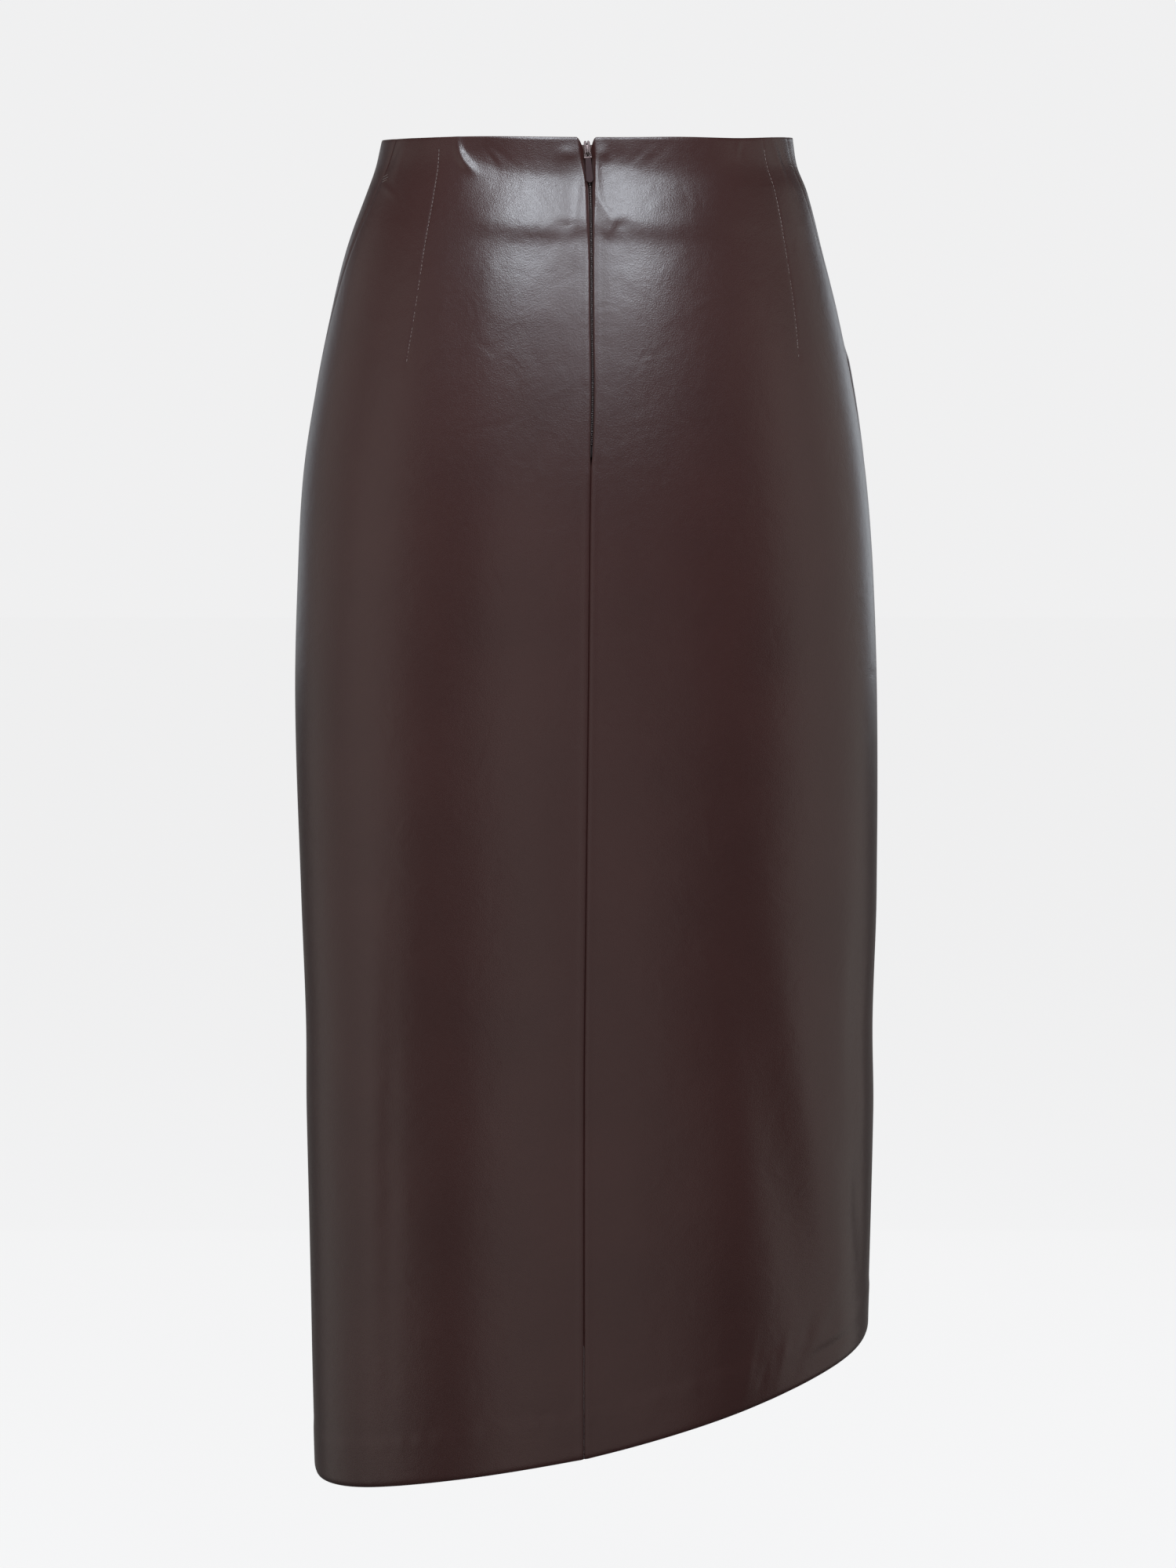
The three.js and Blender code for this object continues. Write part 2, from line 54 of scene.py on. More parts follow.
# Horizontal sections of the filled-out form: half widths to the wearer's left and right, depths behind
# and before the side seams, and how square the section is (2 is an ellipse).
SECTION_NAMES = ("z", "left", "right", "back", "front", "square")
SECTIONS = (
    (0, 125.0, 124.2, 86.0, 90.0, 2.12),
    (-15, 128.5, 127.1, 88.6, 93.2, 2.12),
    (-30, 134.0, 133.0, 91.5, 96.0, 2.12),
    (-65, 147.0, 142.2, 99.0, 102.0, 2.12),
    (-105, 157.0, 152.5, 107.5, 106.5, 2.12),
    (-150, 166.5, 162.0, 115.0, 109.5, 2.14),
    (-200, 174.5, 170.0, 120.0, 111.5, 2.16),
    (-260, 178.6, 175.4, 121.5, 113.0, 2.18),
    (-340, 181.5, 178.9, 120.5, 113.0, 2.2),
    (-460, 178.8, 180.0, 119.0, 112.0, 2.2),
    (-540, 176.2, 177.8, 118.6, 112.0, 2.2),
    (-600, 176.4, 179.2, 118.5, 112.0, 2.2),
    (-735, 175.0, 176.8, 118.0, 112.0, 2.2),
    (-850, 173.4, 173.8, 118.0, 112.0, 2.2),
)
# By height: x of the centre back line, the left and right side seams in degrees round from it, and
# half the width between the zip's rolled edges.
CENTRE_BACK = (
    (0, -1.0), (-30, 1.4), (-110, 2.3), (-150, 2.7), (-205, 1.4),
    (-320, 0.3), (-470, -1.4), (-566, -2.3), (-850, -2.4),
)
SIDE_SEAMS = ((0, 72, 78), (-60, 79, 83), (-130, 86, 88), (-250, 90, 90), (-850, 90, 90))
ZIP_GAP = (
    (0, 2.1), (-12, 2.1), (-20, 1.5), (-40, 1.0),
    (-75, 0.85), (-120, 0.75), (-181, 0.65), (-190, 0.012),
)

# Darts: shares of the half width at the waist and at the tip, length, and how far they bow out.
DARTS = {
    ("back", -1): (0.7, 0.657, 131.0, -3.3),
    ("back", 1): (0.833, 0.792, 128.0, 1.7),
    ("front", -1): (0.52, 0.46, 95.0, 0.0),
    ("front", 1): (0.52, 0.46, 95.0, 0.0),
}

# Flutes of the lower half: x, width, depth, and the heights between which they grow.
FLUTES = (
    (152, 26, 1.6, -430, -760),
    (-146, 30, 1.5, -420, -820),
    (92, 40, 1.0, -480, -760),
    (-66, 44, 1.2, -500, -800),
)

# Creases listed for the back and for the front. x and z of the middle, degrees from upright,
# half length, half width, height (ridges stand out, troughs go in) and, where it isn't straight, bow.
CREASE_NAMES = ("x", "z", "turn", "length", "width", "height", "bow")
CREASES = {
    "back": (
        (-5.4, -37, 2, 19, 3, 0.42), (-13.5, -50.5, 80, 5, 3.4, -0.4), (-6.4, -66, 4, 7, 3.4, 0.36),
        (5.4, -24, -6, 13, 2.6, 0.34), (9.6, -41, -30, 12, 2.8, 0.42), (11.8, -54, 6, 3.6, 2.4, 0.36),
        (19.5, -50.5, 76, 5.5, 3.4, -0.45), (-11.5, -8.5, 86, 6, 3.6, 0.55),
        (8.5, -8.5, 80, 3.5, 3.6, 0.5), (-16, -66, 30, 9, 5, 0.2), (28, -11, 50, 8, 1.4, -0.1),
        (34, -10, 46, 6, 1.3, 0.09), (40, -11, 50, 8, 1.4, -0.08), (47, -10, 48, 5, 1.5, 0.07),
        (-58, -9.5, -38, 5, 1, -0.12), (-54, -11, -42, 6, 1.1, 0.13), (-49, -10.5, -46, 6, 1, -0.08),
        (-42, -11.5, -60, 7, 1.3, 0.07), (88.5, -5.5, 3, 4.5, 1.1, 0.42), (91, -5, 3, 5, 1.3, -0.3),
        (-111, -9, 26, 12, 2.6, 0.5, 0.012), (-116.5, -12, 26, 9, 2.2, -0.45),
        (-118.5, -30, -48, 6, 1.6, 0.3), (113.5, -11, -20, 13, 1.5, 0.35),
        (117, -13, -20, 12, 1.4, -0.35), (121.5, -24, -26, 8, 1.2, 0.25), (-60, -240, 8, 70, 24, 0.5),
        (44, -330, -4, 110, 20, -0.45), (-90, -520, 2, 150, 18, -0.5), (-30, -470, -3, 120, 22, 0.5),
        (64, -600, 3, 130, 22, -0.4), (24, -640, -2, 110, 16, 0.4), (98, -738, 10, 20, 2.6, 0.32),
        (107, -742, 12, 15, 2, -0.3), (119, -735, 12, 20, 2.4, 0.32), (131, -728, 16, 20, 3, -0.36),
        (143, -716, 20, 26, 3.6, 0.42), (150, -727, 68, 13, 2.2, 0.4), (152, -733, 74, 12, 2.2, -0.4),
        (116, -620, -11, 115, 14, -1.1), (140, -610, -11, 115, 12, 1.2), (163, -520, 1, 50, 5, -0.7),
        (166, -655, -3, 38, 4, -0.8), (169, -585, -2, 36, 4.5, 0.6), (-150, -300, 5, 120, 14, 0.7),
        (-132, -620, 1, 150, 9, 0.5), (-121, -640, 1, 150, 7, -0.4),
    ),
    "front": (
        (-96, -12, 20, 12, 2.6, 0.45), (-88, -15, 26, 11, 2.4, -0.4), (90, -12, -20, 13, 2.4, 0.45),
        (22, -12, 84, 26, 3.4, -0.3), (-30, -150, 82, 46, 7, 0.4), (36, -172, 97, 52, 8, -0.45),
        (-78, -330, 6, 130, 20, -0.5), (60, -400, -5, 140, 22, 0.55), (-10, -520, 2, 150, 24, -0.45),
        (110, -560, -3, 130, 16, 0.5), (-124, -610, 2, 140, 14, 0.5), (30, -690, -6, 90, 18, -0.4),
    ),
}

# Top edge: its rise all round, soft humps (x, width, height), and the stretch at the right side over
# which it climbs. The notch above the slider: depth, width and how hollow its curve is. All fade out
# TOP_FADE down.
WAIST_RISE = 0.5
WAIST_HUMPS = ((-67, 40, 0.8), (55, 22, 0.4))
WAIST_SIDE = (84, 126)
NOTCH = (6.8, 3.7, 1.8)
TOP_FADE = 60.0
HEM_WAVE = 60.0

# Half the gap where the seam is sewn, the zip's lower end, how far down the rows of a panel stay level,
# and how far down the coil and the tapes begin and end.
SEWN_HALF = 0.012
ZIP_CLOSED = -190.0
LEVEL_TO = 300.0
COIL_DROPS = (7.0, 180.0)
TAPE_DROPS = (3.0, 186.0)
TAPE_THICK = 1.0

# How the cloth sinks and swells at its seams and edges. zipped and sewn are the two lengths of the
# centre back; open is what the top of the zip adds, and tab the hollow that the pull's tab lies in.
ROLL_DEPTH = {"zipped": 0.6, "sewn": 0.8, "open": 1.0, "open_reach": 24}
ROLL_WIDTH = {"zipped": 0.42, "sewn": 0.45, "open": 1.5, "tab_left": 0.7, "tab_right": 0.3}
TAB_HOLLOW = {"drop": 42, "reach": 16}
ROLL_LIP = {"zipped": 0.12, "sewn": 0.2, "at": 2.6, "width": 1.5}
SIDE_SINK = {"depth": 0.7, "less_at_top": 0.45, "reach": 70, "width": 2.2}
DART_LINE = {"depth": 0.14, "width": 0.5, "fade": (-12, 4)}
DART_LIP = {"height": 0.05, "at": 1.6, "width": 1.2}
DART_END = {"depth": 0.2, "width": 1.6, "above": 2, "length": 3.0}
HEM_BAND = {"height": 0.35, "start": 6, "full": -2}
HEM_PUCKER = {"height": 0.08, "pitch": 2.3, "drift": 3, "drift_pitch": 19, "reach": 5}
HEM_RIM = {"depth": 0.5, "reach": 2}
FLUTE_FRONT = 0.8
HIP_STEP = {"height": 1.2, "width": 22, "top": (-121, -133), "foot": (-235, -145)}
STILL = 8  # no ripple this close to the waist and hem
FAR = 999  # stands for "not near this edge"
RIM_THIN = {"share": 0.6, "reach": 1.5}
RIM_ROUND = {"share": 0.22, "reach": 0.7}

# Where the slider's middle stands, how it leans in degrees, and where the pull's axis lies from it.
HEAD_Z = -7.5
HEAD_LEAN = 4.6
HEAD_SPAN = 8
PIVOT_OUT = 1.05
PIVOT_UP = -0.75
SLIDER_IN = 1.1
# From the outlines' plane to the cloth's plane, and to the plane across it that the bridge stands in.
UPRIGHT = Matrix.Rotation(math.pi / 2, 4, "X")
EDGEWISE = Matrix(((0, 0, -1, 0), (0, -1, 0, 0), (1, 0, 0, 0), (0, 0, 0, 1)))
# Outlines of the slider and pull. Those named SIDE are symmetric and give their right side.
SLIDER_SIDE = ((1.3, -4.2), (1.8, -2.8), (1.8, 5.0), (1.3, 6.0), (0.5, 6.0), (0, 4.4))
BRIDGE = ((-3.0, 0), (-3.0, 1.7), (-1.9, 2.6), (3.2, 2.6), (4.2, 1.7), (4.2, 0))
BRIDGE_HOLE = ((-2.2, 0.25), (-2.2, 1.5), (-1.7, 1.8), (0.8, 1.8), (1.15, 1.5), (1.15, 0.25))
LOOP_SIDE = ((1.5, 0.45), (2.5, -3.2), (2.5, -3.75))
LOOP_HOLE_SIDE = ((0.9, -0.45), (1.6, -2.75))
TAB = (
    (-1.55, -3.5), (1.55, -3.5), (1.75, -4.8), (2.15, -16.5),
    (0.9, -18.0), (-0.6, -18.1), (-2.15, -17.0), (-1.75, -4.8),
)

# One coil turn: across and out, as shares of its size, with None for the feet at the channel's bottom.
COIL_PROFILE = (
    (-0.82, None), (-0.78, -0.1), (-0.42, 0.2), (0.0, 0.3), (0.42, 0.2), (0.78, -0.1), (0.82, None),
)
COIL = {
    "clear": 0.3, "half": 0.85, "sunk": 0.85, "high": 0.9,
    "leg": 1.2, "lean": 0.12, "thread": (0.46, 0.34),
}

# Dart stitches: share of the pitch that shows, height over the cloth, how far they sink towards the
# tip and over which share of the dart, thread radius, and what is left out at each end.
STITCH_DUTY = 0.8
STITCH_LIFT = 0.1
STITCH_SINK = 0.21
STITCH_SINKS = (0.25, 0.65)
STITCH_RADIUS = 0.2
STITCH_START = -6.0
STITCH_STOP = 1.0
STITCH_RINGS = ((0.0, 0.15), (0.12, 0.8), (0.5, 1.0), (0.88, 0.8), (1.0, 0.15))
TUBE_SIDES = 6
# Side tacks: panel, x and z of the middle, and the lean of the three short stitches.
TACKS = (("back_left", -121.3, -23.0, 1), ("back_right", 123.0, -15.0, -1))
TACK = {"half": 1.9, "apart": 1.5, "lean": 1.0, "lift": 0.12, "shortest": 0.5}


def metres(name, description, default):
    return bpy.props.FloatProperty(name=name, description=description, default=default, unit="LENGTH")


def tint(name, description, default):
    return bpy.props.FloatVectorProperty(
        name=name, description=description, default=default, subtype="COLOR"
    )


class SkirtSizes(bpy.types.PropertyGroup):
    """Sizes of the garment that a maker would change."""

    back_length: metres("Back length", "Centre back, waist edge to hem", 0.790)
    hem_slant: bpy.props.FloatProperty(
        name="Hem slant", description="Rise of the hem per unit of width", default=0.247
    )
    hem_bow: bpy.props.FloatProperty(
        name="Hem bow", description="How the hem bows up at the right, per millimetre", default=0.00023
    )
    hem_lift: metres("Hem lift", "Lift of the hem halfway to the left", 0.0031)
    waist_lift: metres("Waist lift", "Top edge's rise at the right side", 0.0016)
    cloth: metres("Cloth", "Thickness of one layer", 0.0012)
    folded: metres("Folded layer", "Thickness of the turned-in layer", 0.0010)
    turn_in: metres("Facing depth", "Depth of the turned-in layer", 0.050)
    turn_up: metres("Hem turn-up", "Depth of the turned-up hem", 0.028)
    seam_gap: metres("Seam gap", "Between two sewn pieces", 0.0003)
    stitch: metres("Stitch pitch", "Length of one dart stitch", 0.0023)
    coil_pitch: metres("Coil pitch", "Distance between coil turns", 0.00127)


class SkirtColours(bpy.types.PropertyGroup):
    """Colours of the cloth, thread, zip and studio."""

    leather: tint("Leather", "Cloth colour", (0.032, 0.0105, 0.0094))
    leather_worn: tint("Leather, lighter", "Lighter patches", (0.038, 0.0128, 0.0114))
    backing: tint("Backing", "Knitted inner side of the cloth", (0.062, 0.036, 0.031))
    thread: tint("Thread", "Sewing thread", (0.12, 0.088, 0.080))
    tape: tint("Zip tape", "Woven zip tape", (0.022, 0.013, 0.013))
    coil: tint("Zip coil", "Nylon coil", (0.028, 0.018, 0.018))
    metal: tint("Slider", "Lacquered slider", (0.055, 0.040, 0.039))
    pull: tint("Pull tab", "Painted pull tab", (0.030, 0.016, 0.017))
    studio: tint("Studio", "Floor and backdrop", (0.871, 0.871, 0.875))


def sizes():
    return bpy.context.scene.skirt_sizes


def colours():
    return bpy.context.scene.skirt_colours


def ease(low, high, value):
    t = np.clip((value - low) / (high - low), 0, 1)
    return t * t * (3 - 2 * t)


def bell(distance, width):
    return np.exp(-((distance / width) ** 2))


def column(rows, z, which=1):
    """A column of a table at heights z, as a smooth curve through its rows."""
    heights, values = np.array([(row[0], row[which]) for row in rows], float).T
    last = len(rows) - 1
    ahead = np.minimum(np.arange(last + 1) + 1, last)
    behind = np.maximum(np.arange(last + 1) - 1, 0)
    slopes = (values[ahead] - values[behind]) / (heights[ahead] - heights[behind])
    z = np.clip(np.asarray(z, float), heights[-1], heights[0])
    i = np.clip(np.searchsorted(-heights, -z, side="right") - 1, 0, last - 1)
    span = heights[i + 1] - heights[i]
    t = (z - heights[i]) / span
    rise = values[i + 1] - values[i]
    bend = (1 - t) * (slopes[i] * span - rise) - t * (slopes[i + 1] * span - rise)
    return values[i] + t * rise + t * (1 - t) * bend


def section(key, z):
    return column(SECTIONS, z, SECTION_NAMES.index(key))


def centre_x(z):
    return column(CENTRE_BACK, z)


def half_width(side, z):
    return section("left" if side < 0 else "right", z)


def side_angle(side, z):
    return side * np.radians(column(SIDE_SEAMS, z, 1 if side < 0 else 2))


def zip_half(z):
    return np.where(z < ZIP_CLOSED, SEWN_HALF, np.maximum(SEWN_HALF, column(ZIP_GAP, z)))


def form_point(angle, z):
    """A point of the bare form; the angle runs from the centre back through the wearer's right."""
    s, c = np.sin(angle), np.cos(angle)
    width = np.where(s < 0, section("left", z), section("right", z))
    depth = np.where(c < 0, section("front", z), section("back", z))
    n = section("square", z)
    radius = (np.abs(s / width) ** n + np.abs(c / depth) ** n) ** (-1 / n)
    return np.stack([radius * s, -radius * c, z + 0 * radius], axis=-1)


def form_normal(angle, z):
    step = 0.004
    along = form_point(angle + step, z) - form_point(angle - step, z)
    high = np.minimum(0, z + 1)
    up = form_point(angle, high) - form_point(angle, high - 2)
    normal = np.cross(along, up)
    return normal / np.linalg.norm(normal, axis=-1, keepdims=True)


def angle_of_x(x, z, front=False):
    """The angle at which the back (or front) half of a section passes through x."""
    width = np.where(x < 0, section("left", z), section("right", z))
    depth = section("front" if front else "back", z)
    n = section("square", z)
    share = np.clip(1 - np.abs(x / width) ** n, 1e-6, 1) ** (1 / n)
    return np.arctan2(x, -depth * share if front else depth * share)


def dart_x(where, side, z):
    waist, tip, length, bow = DARTS[(where, side)]
    t = np.clip(-z / length, 0, 1)
    return side * ((waist + (tip - waist) * t) * half_width(side, z) + bow * np.sin(math.pi * t))


def hem_z(x):
    s = sizes()
    bow = np.where(x > 0, s.hem_bow * x * x, s.hem_lift / MM * np.sin(-x / HEM_WAVE))
    return -s.back_length / MM + s.hem_slant * x + bow


def crease_relief(where, x, z):
    out = np.zeros_like(x)
    for row in CREASES[where]:
        c = {"bow": 0} | dict(zip(CREASE_NAMES, row))
        turn = math.radians(c["turn"])
        dx, dz = x - c["x"], z - c["z"]
        along = dx * math.sin(turn) + dz * math.cos(turn)
        across = dx * math.cos(turn) - dz * math.sin(turn) - c["bow"] * along * along
        out += c["height"] * bell(across, c["width"]) * bell(along, c["length"])
    return out


def ripple(x, z):
    """Slow unevenness of cloth that is filled out, the same in every run."""
    out = 0.22 * np.sin(x / 31 + 1.3 * np.sin(z / 90)) * np.sin(z / 118 + 0.7)
    out += 0.12 * np.sin(x / 17 + z / 63 + 2.1) * np.sin(z / 47 - x / 80)
    return out


# Outline of the waist's turned-in edge as it shows through the cloth: a trough under the rolled rim,
# a bulge over the facing and a soft ledge below it. z and offset.
WAIST_PROFILE = (
    (0, 0.0), (-6, -0.6), (-12, -1.2), (-18, -1.5), (-25, -1.2), (-32, -0.6), (-39, 0.0), (-45, 0.5),
    (-49, 0.72), (-53, 0.6), (-57, 0.28), (-61, 0.14), (-67, 0.26), (-80, 0.62), (-105, 0.75),
    (-150, 0.3), (-200, 0.0),
)
# Where that outline is strong: left and right ends with the softness of each, and its share there.
# Elsewhere it has WAIST_FAINT of its strength.
WAIST_NAMES = ("side", "left", "soft_left", "right", "soft_right", "share")
WAIST_FIELDS = (
    ("back", -82.0, 26.0, 16.0, 22.0, 1.1),
    ("back", -6.0, 22.0, 96.0, 62.0, 1.25),
    ("front", -80.0, 50.0, 74.0, 44.0, 0.9),
)
WAIST_FAINT = 0.12
# How far its upper part is moved up or down along the width, and how the ledge's line and strength
# waver: amount, pitch along x, and phase.
WAIST_SHIFT = (
    (100, -4), (62, -5), (36, -1), (12, 4), (4, 4), (-4, 0), (-14, -3), (-34, -2), (-55, 1), (-72, 4),
    (-100, 4),
)
WAIST_SHIFT_BAND = (-20, 16)
LEDGE_BAND = (-54, 14)
LEDGE_WAVER = (1.3, 13, 0.8)
LEDGE_UNEVEN = (0.22, 17, 1.9)
# The lit crescent at the trough's left end: three points of its curve, its widths and its height.
CRESCENT = ((-76.8, 1.0), (-77.5, -15.5), (-59.0, -22.5))
CRESCENT_WIDTHS = (2.1, 3.0)
CRESCENT_HEIGHT = 1.25
CRESCENT_START = 0.3
CRESCENT_GROWS, CRESCENT_FADES = (0, 0.45), (0.42, 0.95)
# How far it bites into the trough's left end, and at which heights.
CRESCENT_BITE = 6.0
CRESCENT_BAND = (-22, 10)


def band(z, at):
    """The share of a soft band that lies at z; at holds its middle and its width."""
    return bell(z - at[0], at[1])


def wave(x, shape):
    """A sine along x; shape holds its amount, pitch and phase."""
    amount, pitch, phase = shape
    return amount * np.sin(x / pitch + phase)


def crescent_relief(x, z):
    t = np.linspace(0, 1, 40)
    a, b, c = (np.array(p)[None, :] for p in CRESCENT)
    curve = (1 - t[:, None]) ** 2 * a + 2 * t[:, None] * (1 - t[:, None]) * b + t[:, None] ** 2 * c
    gaps = np.hypot(x[:, None] - curve[:, 0], z[:, None] - curve[:, 1])
    along = t[np.argmin(gaps, axis=1)]
    wide = CRESCENT_WIDTHS[0] + (CRESCENT_WIDTHS[1] - CRESCENT_WIDTHS[0]) * along
    grown = CRESCENT_START + (1 - CRESCENT_START) * ease(*CRESCENT_GROWS, along)
    return CRESCENT_HEIGHT * grown * (1 - ease(*CRESCENT_FADES, along)) * bell(gaps.min(axis=1), wide)


def waist_relief(where, x, z):
    share = np.zeros_like(x)
    for row in WAIST_FIELDS:
        r = dict(zip(WAIST_NAMES, row))
        if r["side"] == where:
            bitten = CRESCENT_BITE * band(z, CRESCENT_BAND) * (r["left"] < CRESCENT[2][0])
            left = r["left"] + bitten
            inside = ease(left, left + r["soft_left"], x)
            inside = inside * ease(r["right"], r["right"] - r["soft_right"], x)
            share = np.maximum(share, r["share"] * inside)
    shift = column(WAIST_SHIFT, x if where == "back" else -x) * band(z, WAIST_SHIFT_BAND)
    shift = shift + wave(x, LEDGE_WAVER) * band(z, LEDGE_BAND)
    uneven = 1 + wave(x, LEDGE_UNEVEN) * band(z, LEDGE_BAND)
    strength = WAIST_FAINT + (1 - WAIST_FAINT) * share
    out = strength * uneven * column(WAIST_PROFILE, z - shift)
    return out + crescent_relief(x, z) if where == "back" else out


def dart_relief(where, side, x, z):
    length = DARTS[(where, side)][2]
    start, end = DART_LINE["fade"]
    fade = 1 - ease(length + start, length + end, -z)
    aside = x - dart_x(where, side, z)
    out = DART_LIP["height"] * fade * bell(aside - DART_LIP["at"] * side, DART_LIP["width"])
    out -= DART_LINE["depth"] * fade * bell(aside, DART_LINE["width"])
    tip = bell(aside, DART_END["width"]) * bell(-z - length + DART_END["above"], DART_END["length"])
    return out - DART_END["depth"] * tip


def edge_relief(side, z, drop, edge):
    """The roll of the centre back edges; edge is the distance from them across the cloth."""
    zipped = z > ZIP_CLOSED
    depth, width, lip = (
        np.where(zipped, table["zipped"], table["sewn"]) for table in (ROLL_DEPTH, ROLL_WIDTH, ROLL_LIP)
    )
    open_top = np.where(zipped, bell(drop, ROLL_DEPTH["open_reach"]), 0)
    tab = ROLL_WIDTH["tab_left" if side < 0 else "tab_right"]
    depth = depth + ROLL_DEPTH["open"] * open_top
    width = width + ROLL_WIDTH["open"] * open_top
    width = width + tab * bell(drop - TAB_HOLLOW["drop"], TAB_HOLLOW["reach"])
    lip = lip * bell(edge - ROLL_LIP["at"], ROLL_LIP["width"])
    return lip - depth * bell(np.maximum(0, edge), width)


def hem_relief(x, to_hem):
    turn_up = sizes().turn_up / MM
    out = HEM_BAND["height"] * ease(turn_up + HEM_BAND["start"], turn_up + HEM_BAND["full"], to_hem)
    drift = HEM_PUCKER["drift"] * np.sin(x / HEM_PUCKER["drift_pitch"])
    pucker = HEM_PUCKER["height"] * np.sin(x / HEM_PUCKER["pitch"] + drift)
    out += pucker * bell(to_hem - turn_up, HEM_PUCKER["reach"])
    return out - HEM_RIM["depth"] * bell(to_hem, HEM_RIM["reach"])


def flute_relief(where, x, z):
    out = np.zeros_like(x)
    for at, wide, deep, start, end in FLUTES:
        grow = ease(start, start - 120, z) * (1 - 0.4 * ease(end + 20, end - 120, z))
        out += deep * grow * bell(x + FLUTE_FRONT * at if where == "front" else x - at, wide)
    return out


def relief(where, side, x, z, drop, length, edge, seam):
    """How far the outer face stands off the bare form; edge and seam are distances across the cloth."""
    out = edge_relief(side, z, drop, edge)
    sink = SIDE_SINK["depth"] - SIDE_SINK["less_at_top"] * bell(drop, SIDE_SINK["reach"])
    out -= sink * bell(np.maximum(0, seam), SIDE_SINK["width"])
    out += dart_relief(where, side, x, z) + waist_relief(where, x, z)
    out += hem_relief(x, length - drop) + flute_relief(where, x, z)
    if where == "front" and side > 0:
        reach = ease(*HIP_STEP["top"], z) * ease(*HIP_STEP["foot"], z)
        out += HIP_STEP["height"] * reach * bell(seam, HIP_STEP["width"])
    still = bell(np.minimum(drop, length - drop), STILL)
    return out + crease_relief(where, x, z) + ripple(x, z) * (1 - still)


EDGE_STEPS = (0, 0.15, 0.35, 0.6, 0.9, 1.3, 1.8, 2.5, 3.4, 4.5, 5.6, 6.8, 8.1, 9.5, 11)
DART_STEPS = (-6, -4.4, -3.2, -2.3, -1.6, -1.0, -0.55, -0.2, 0.2, 0.55, 1.0, 1.6, 2.3, 3.2, 4.4, 6)
SIDE_STEPS = (14, 10.5, 7.5, 5.2, 3.6, 2.3, 1.3, 0.6, SEWN_HALF)


def guide_angle(guide, z):
    """The angle of one guide line at heights z: along the zip edge, a dart or a side seam."""
    kind, where, side, offset = guide
    if kind == "edge":
        return angle_of_x(centre_x(z) + side * (zip_half(z) + offset), z)
    if kind == "dart":
        angle = angle_of_x(dart_x(where, side, z) + side * offset, z, where == "front")
        return angle % (2 * math.pi) if where == "front" else angle
    turn = side_angle(side, z) % (2 * math.pi) if where == "front" else side_angle(side, z)
    away = 1 if where == "front" else -1
    return turn + away * side * offset / half_width(side, z)


def panel_columns(where, side):
    """Columns of a panel: pairs of guides and the share between them."""
    if where == "back":
        lines = (("edge", EDGE_STEPS, side), ("dart", DART_STEPS, side), ("side", SIDE_STEPS, side))
        fills = (0, 70, 40)
    else:
        lines = (
            ("side", SIDE_STEPS[::-1], 1), ("dart", DART_STEPS[::-1], 1),
            ("dart", DART_STEPS, -1), ("side", SIDE_STEPS, -1),
        )
        fills = (0, 40, 40, 40)
    made = []
    for count, (kind, steps, facing) in zip(fills, lines):
        guides = [(kind, where, facing, step) for step in steps]
        made += [(made[-1][0], guides[0], (k + 1) / (count + 1)) for k in range(count)]
        made += [(guide, guide, 0.0) for guide in guides]
    return made


def drop_rows():
    """Distances down the centre back of a panel's rows, close together at the waist and at the hem."""
    length = sizes().back_length / MM
    return np.concatenate([
        [0, 0.35, 0.8, 1.4, 2.1, 3.0, 4.0],
        np.arange(5.2, 64, 1.55),
        np.arange(66, 215, 3.1),
        np.arange(219, length - 46, 4.6),
        length - np.arange(44, 6, -2.2),
        length - np.array([5, 3.6, 2.4, 1.5, 0.8, 0.35, 0]),
    ])


def notch(edge):
    depth, width, power = NOTCH
    return -depth * (1 - np.clip(edge / width, 0, 1)) ** power


def waist_rise(x):
    rise = WAIST_RISE + sizes().waist_lift / MM * ease(*WAIST_SIDE, x)
    for at, width, height in WAIST_HUMPS:
        rise += height * bell(x - at, width)
    return rise


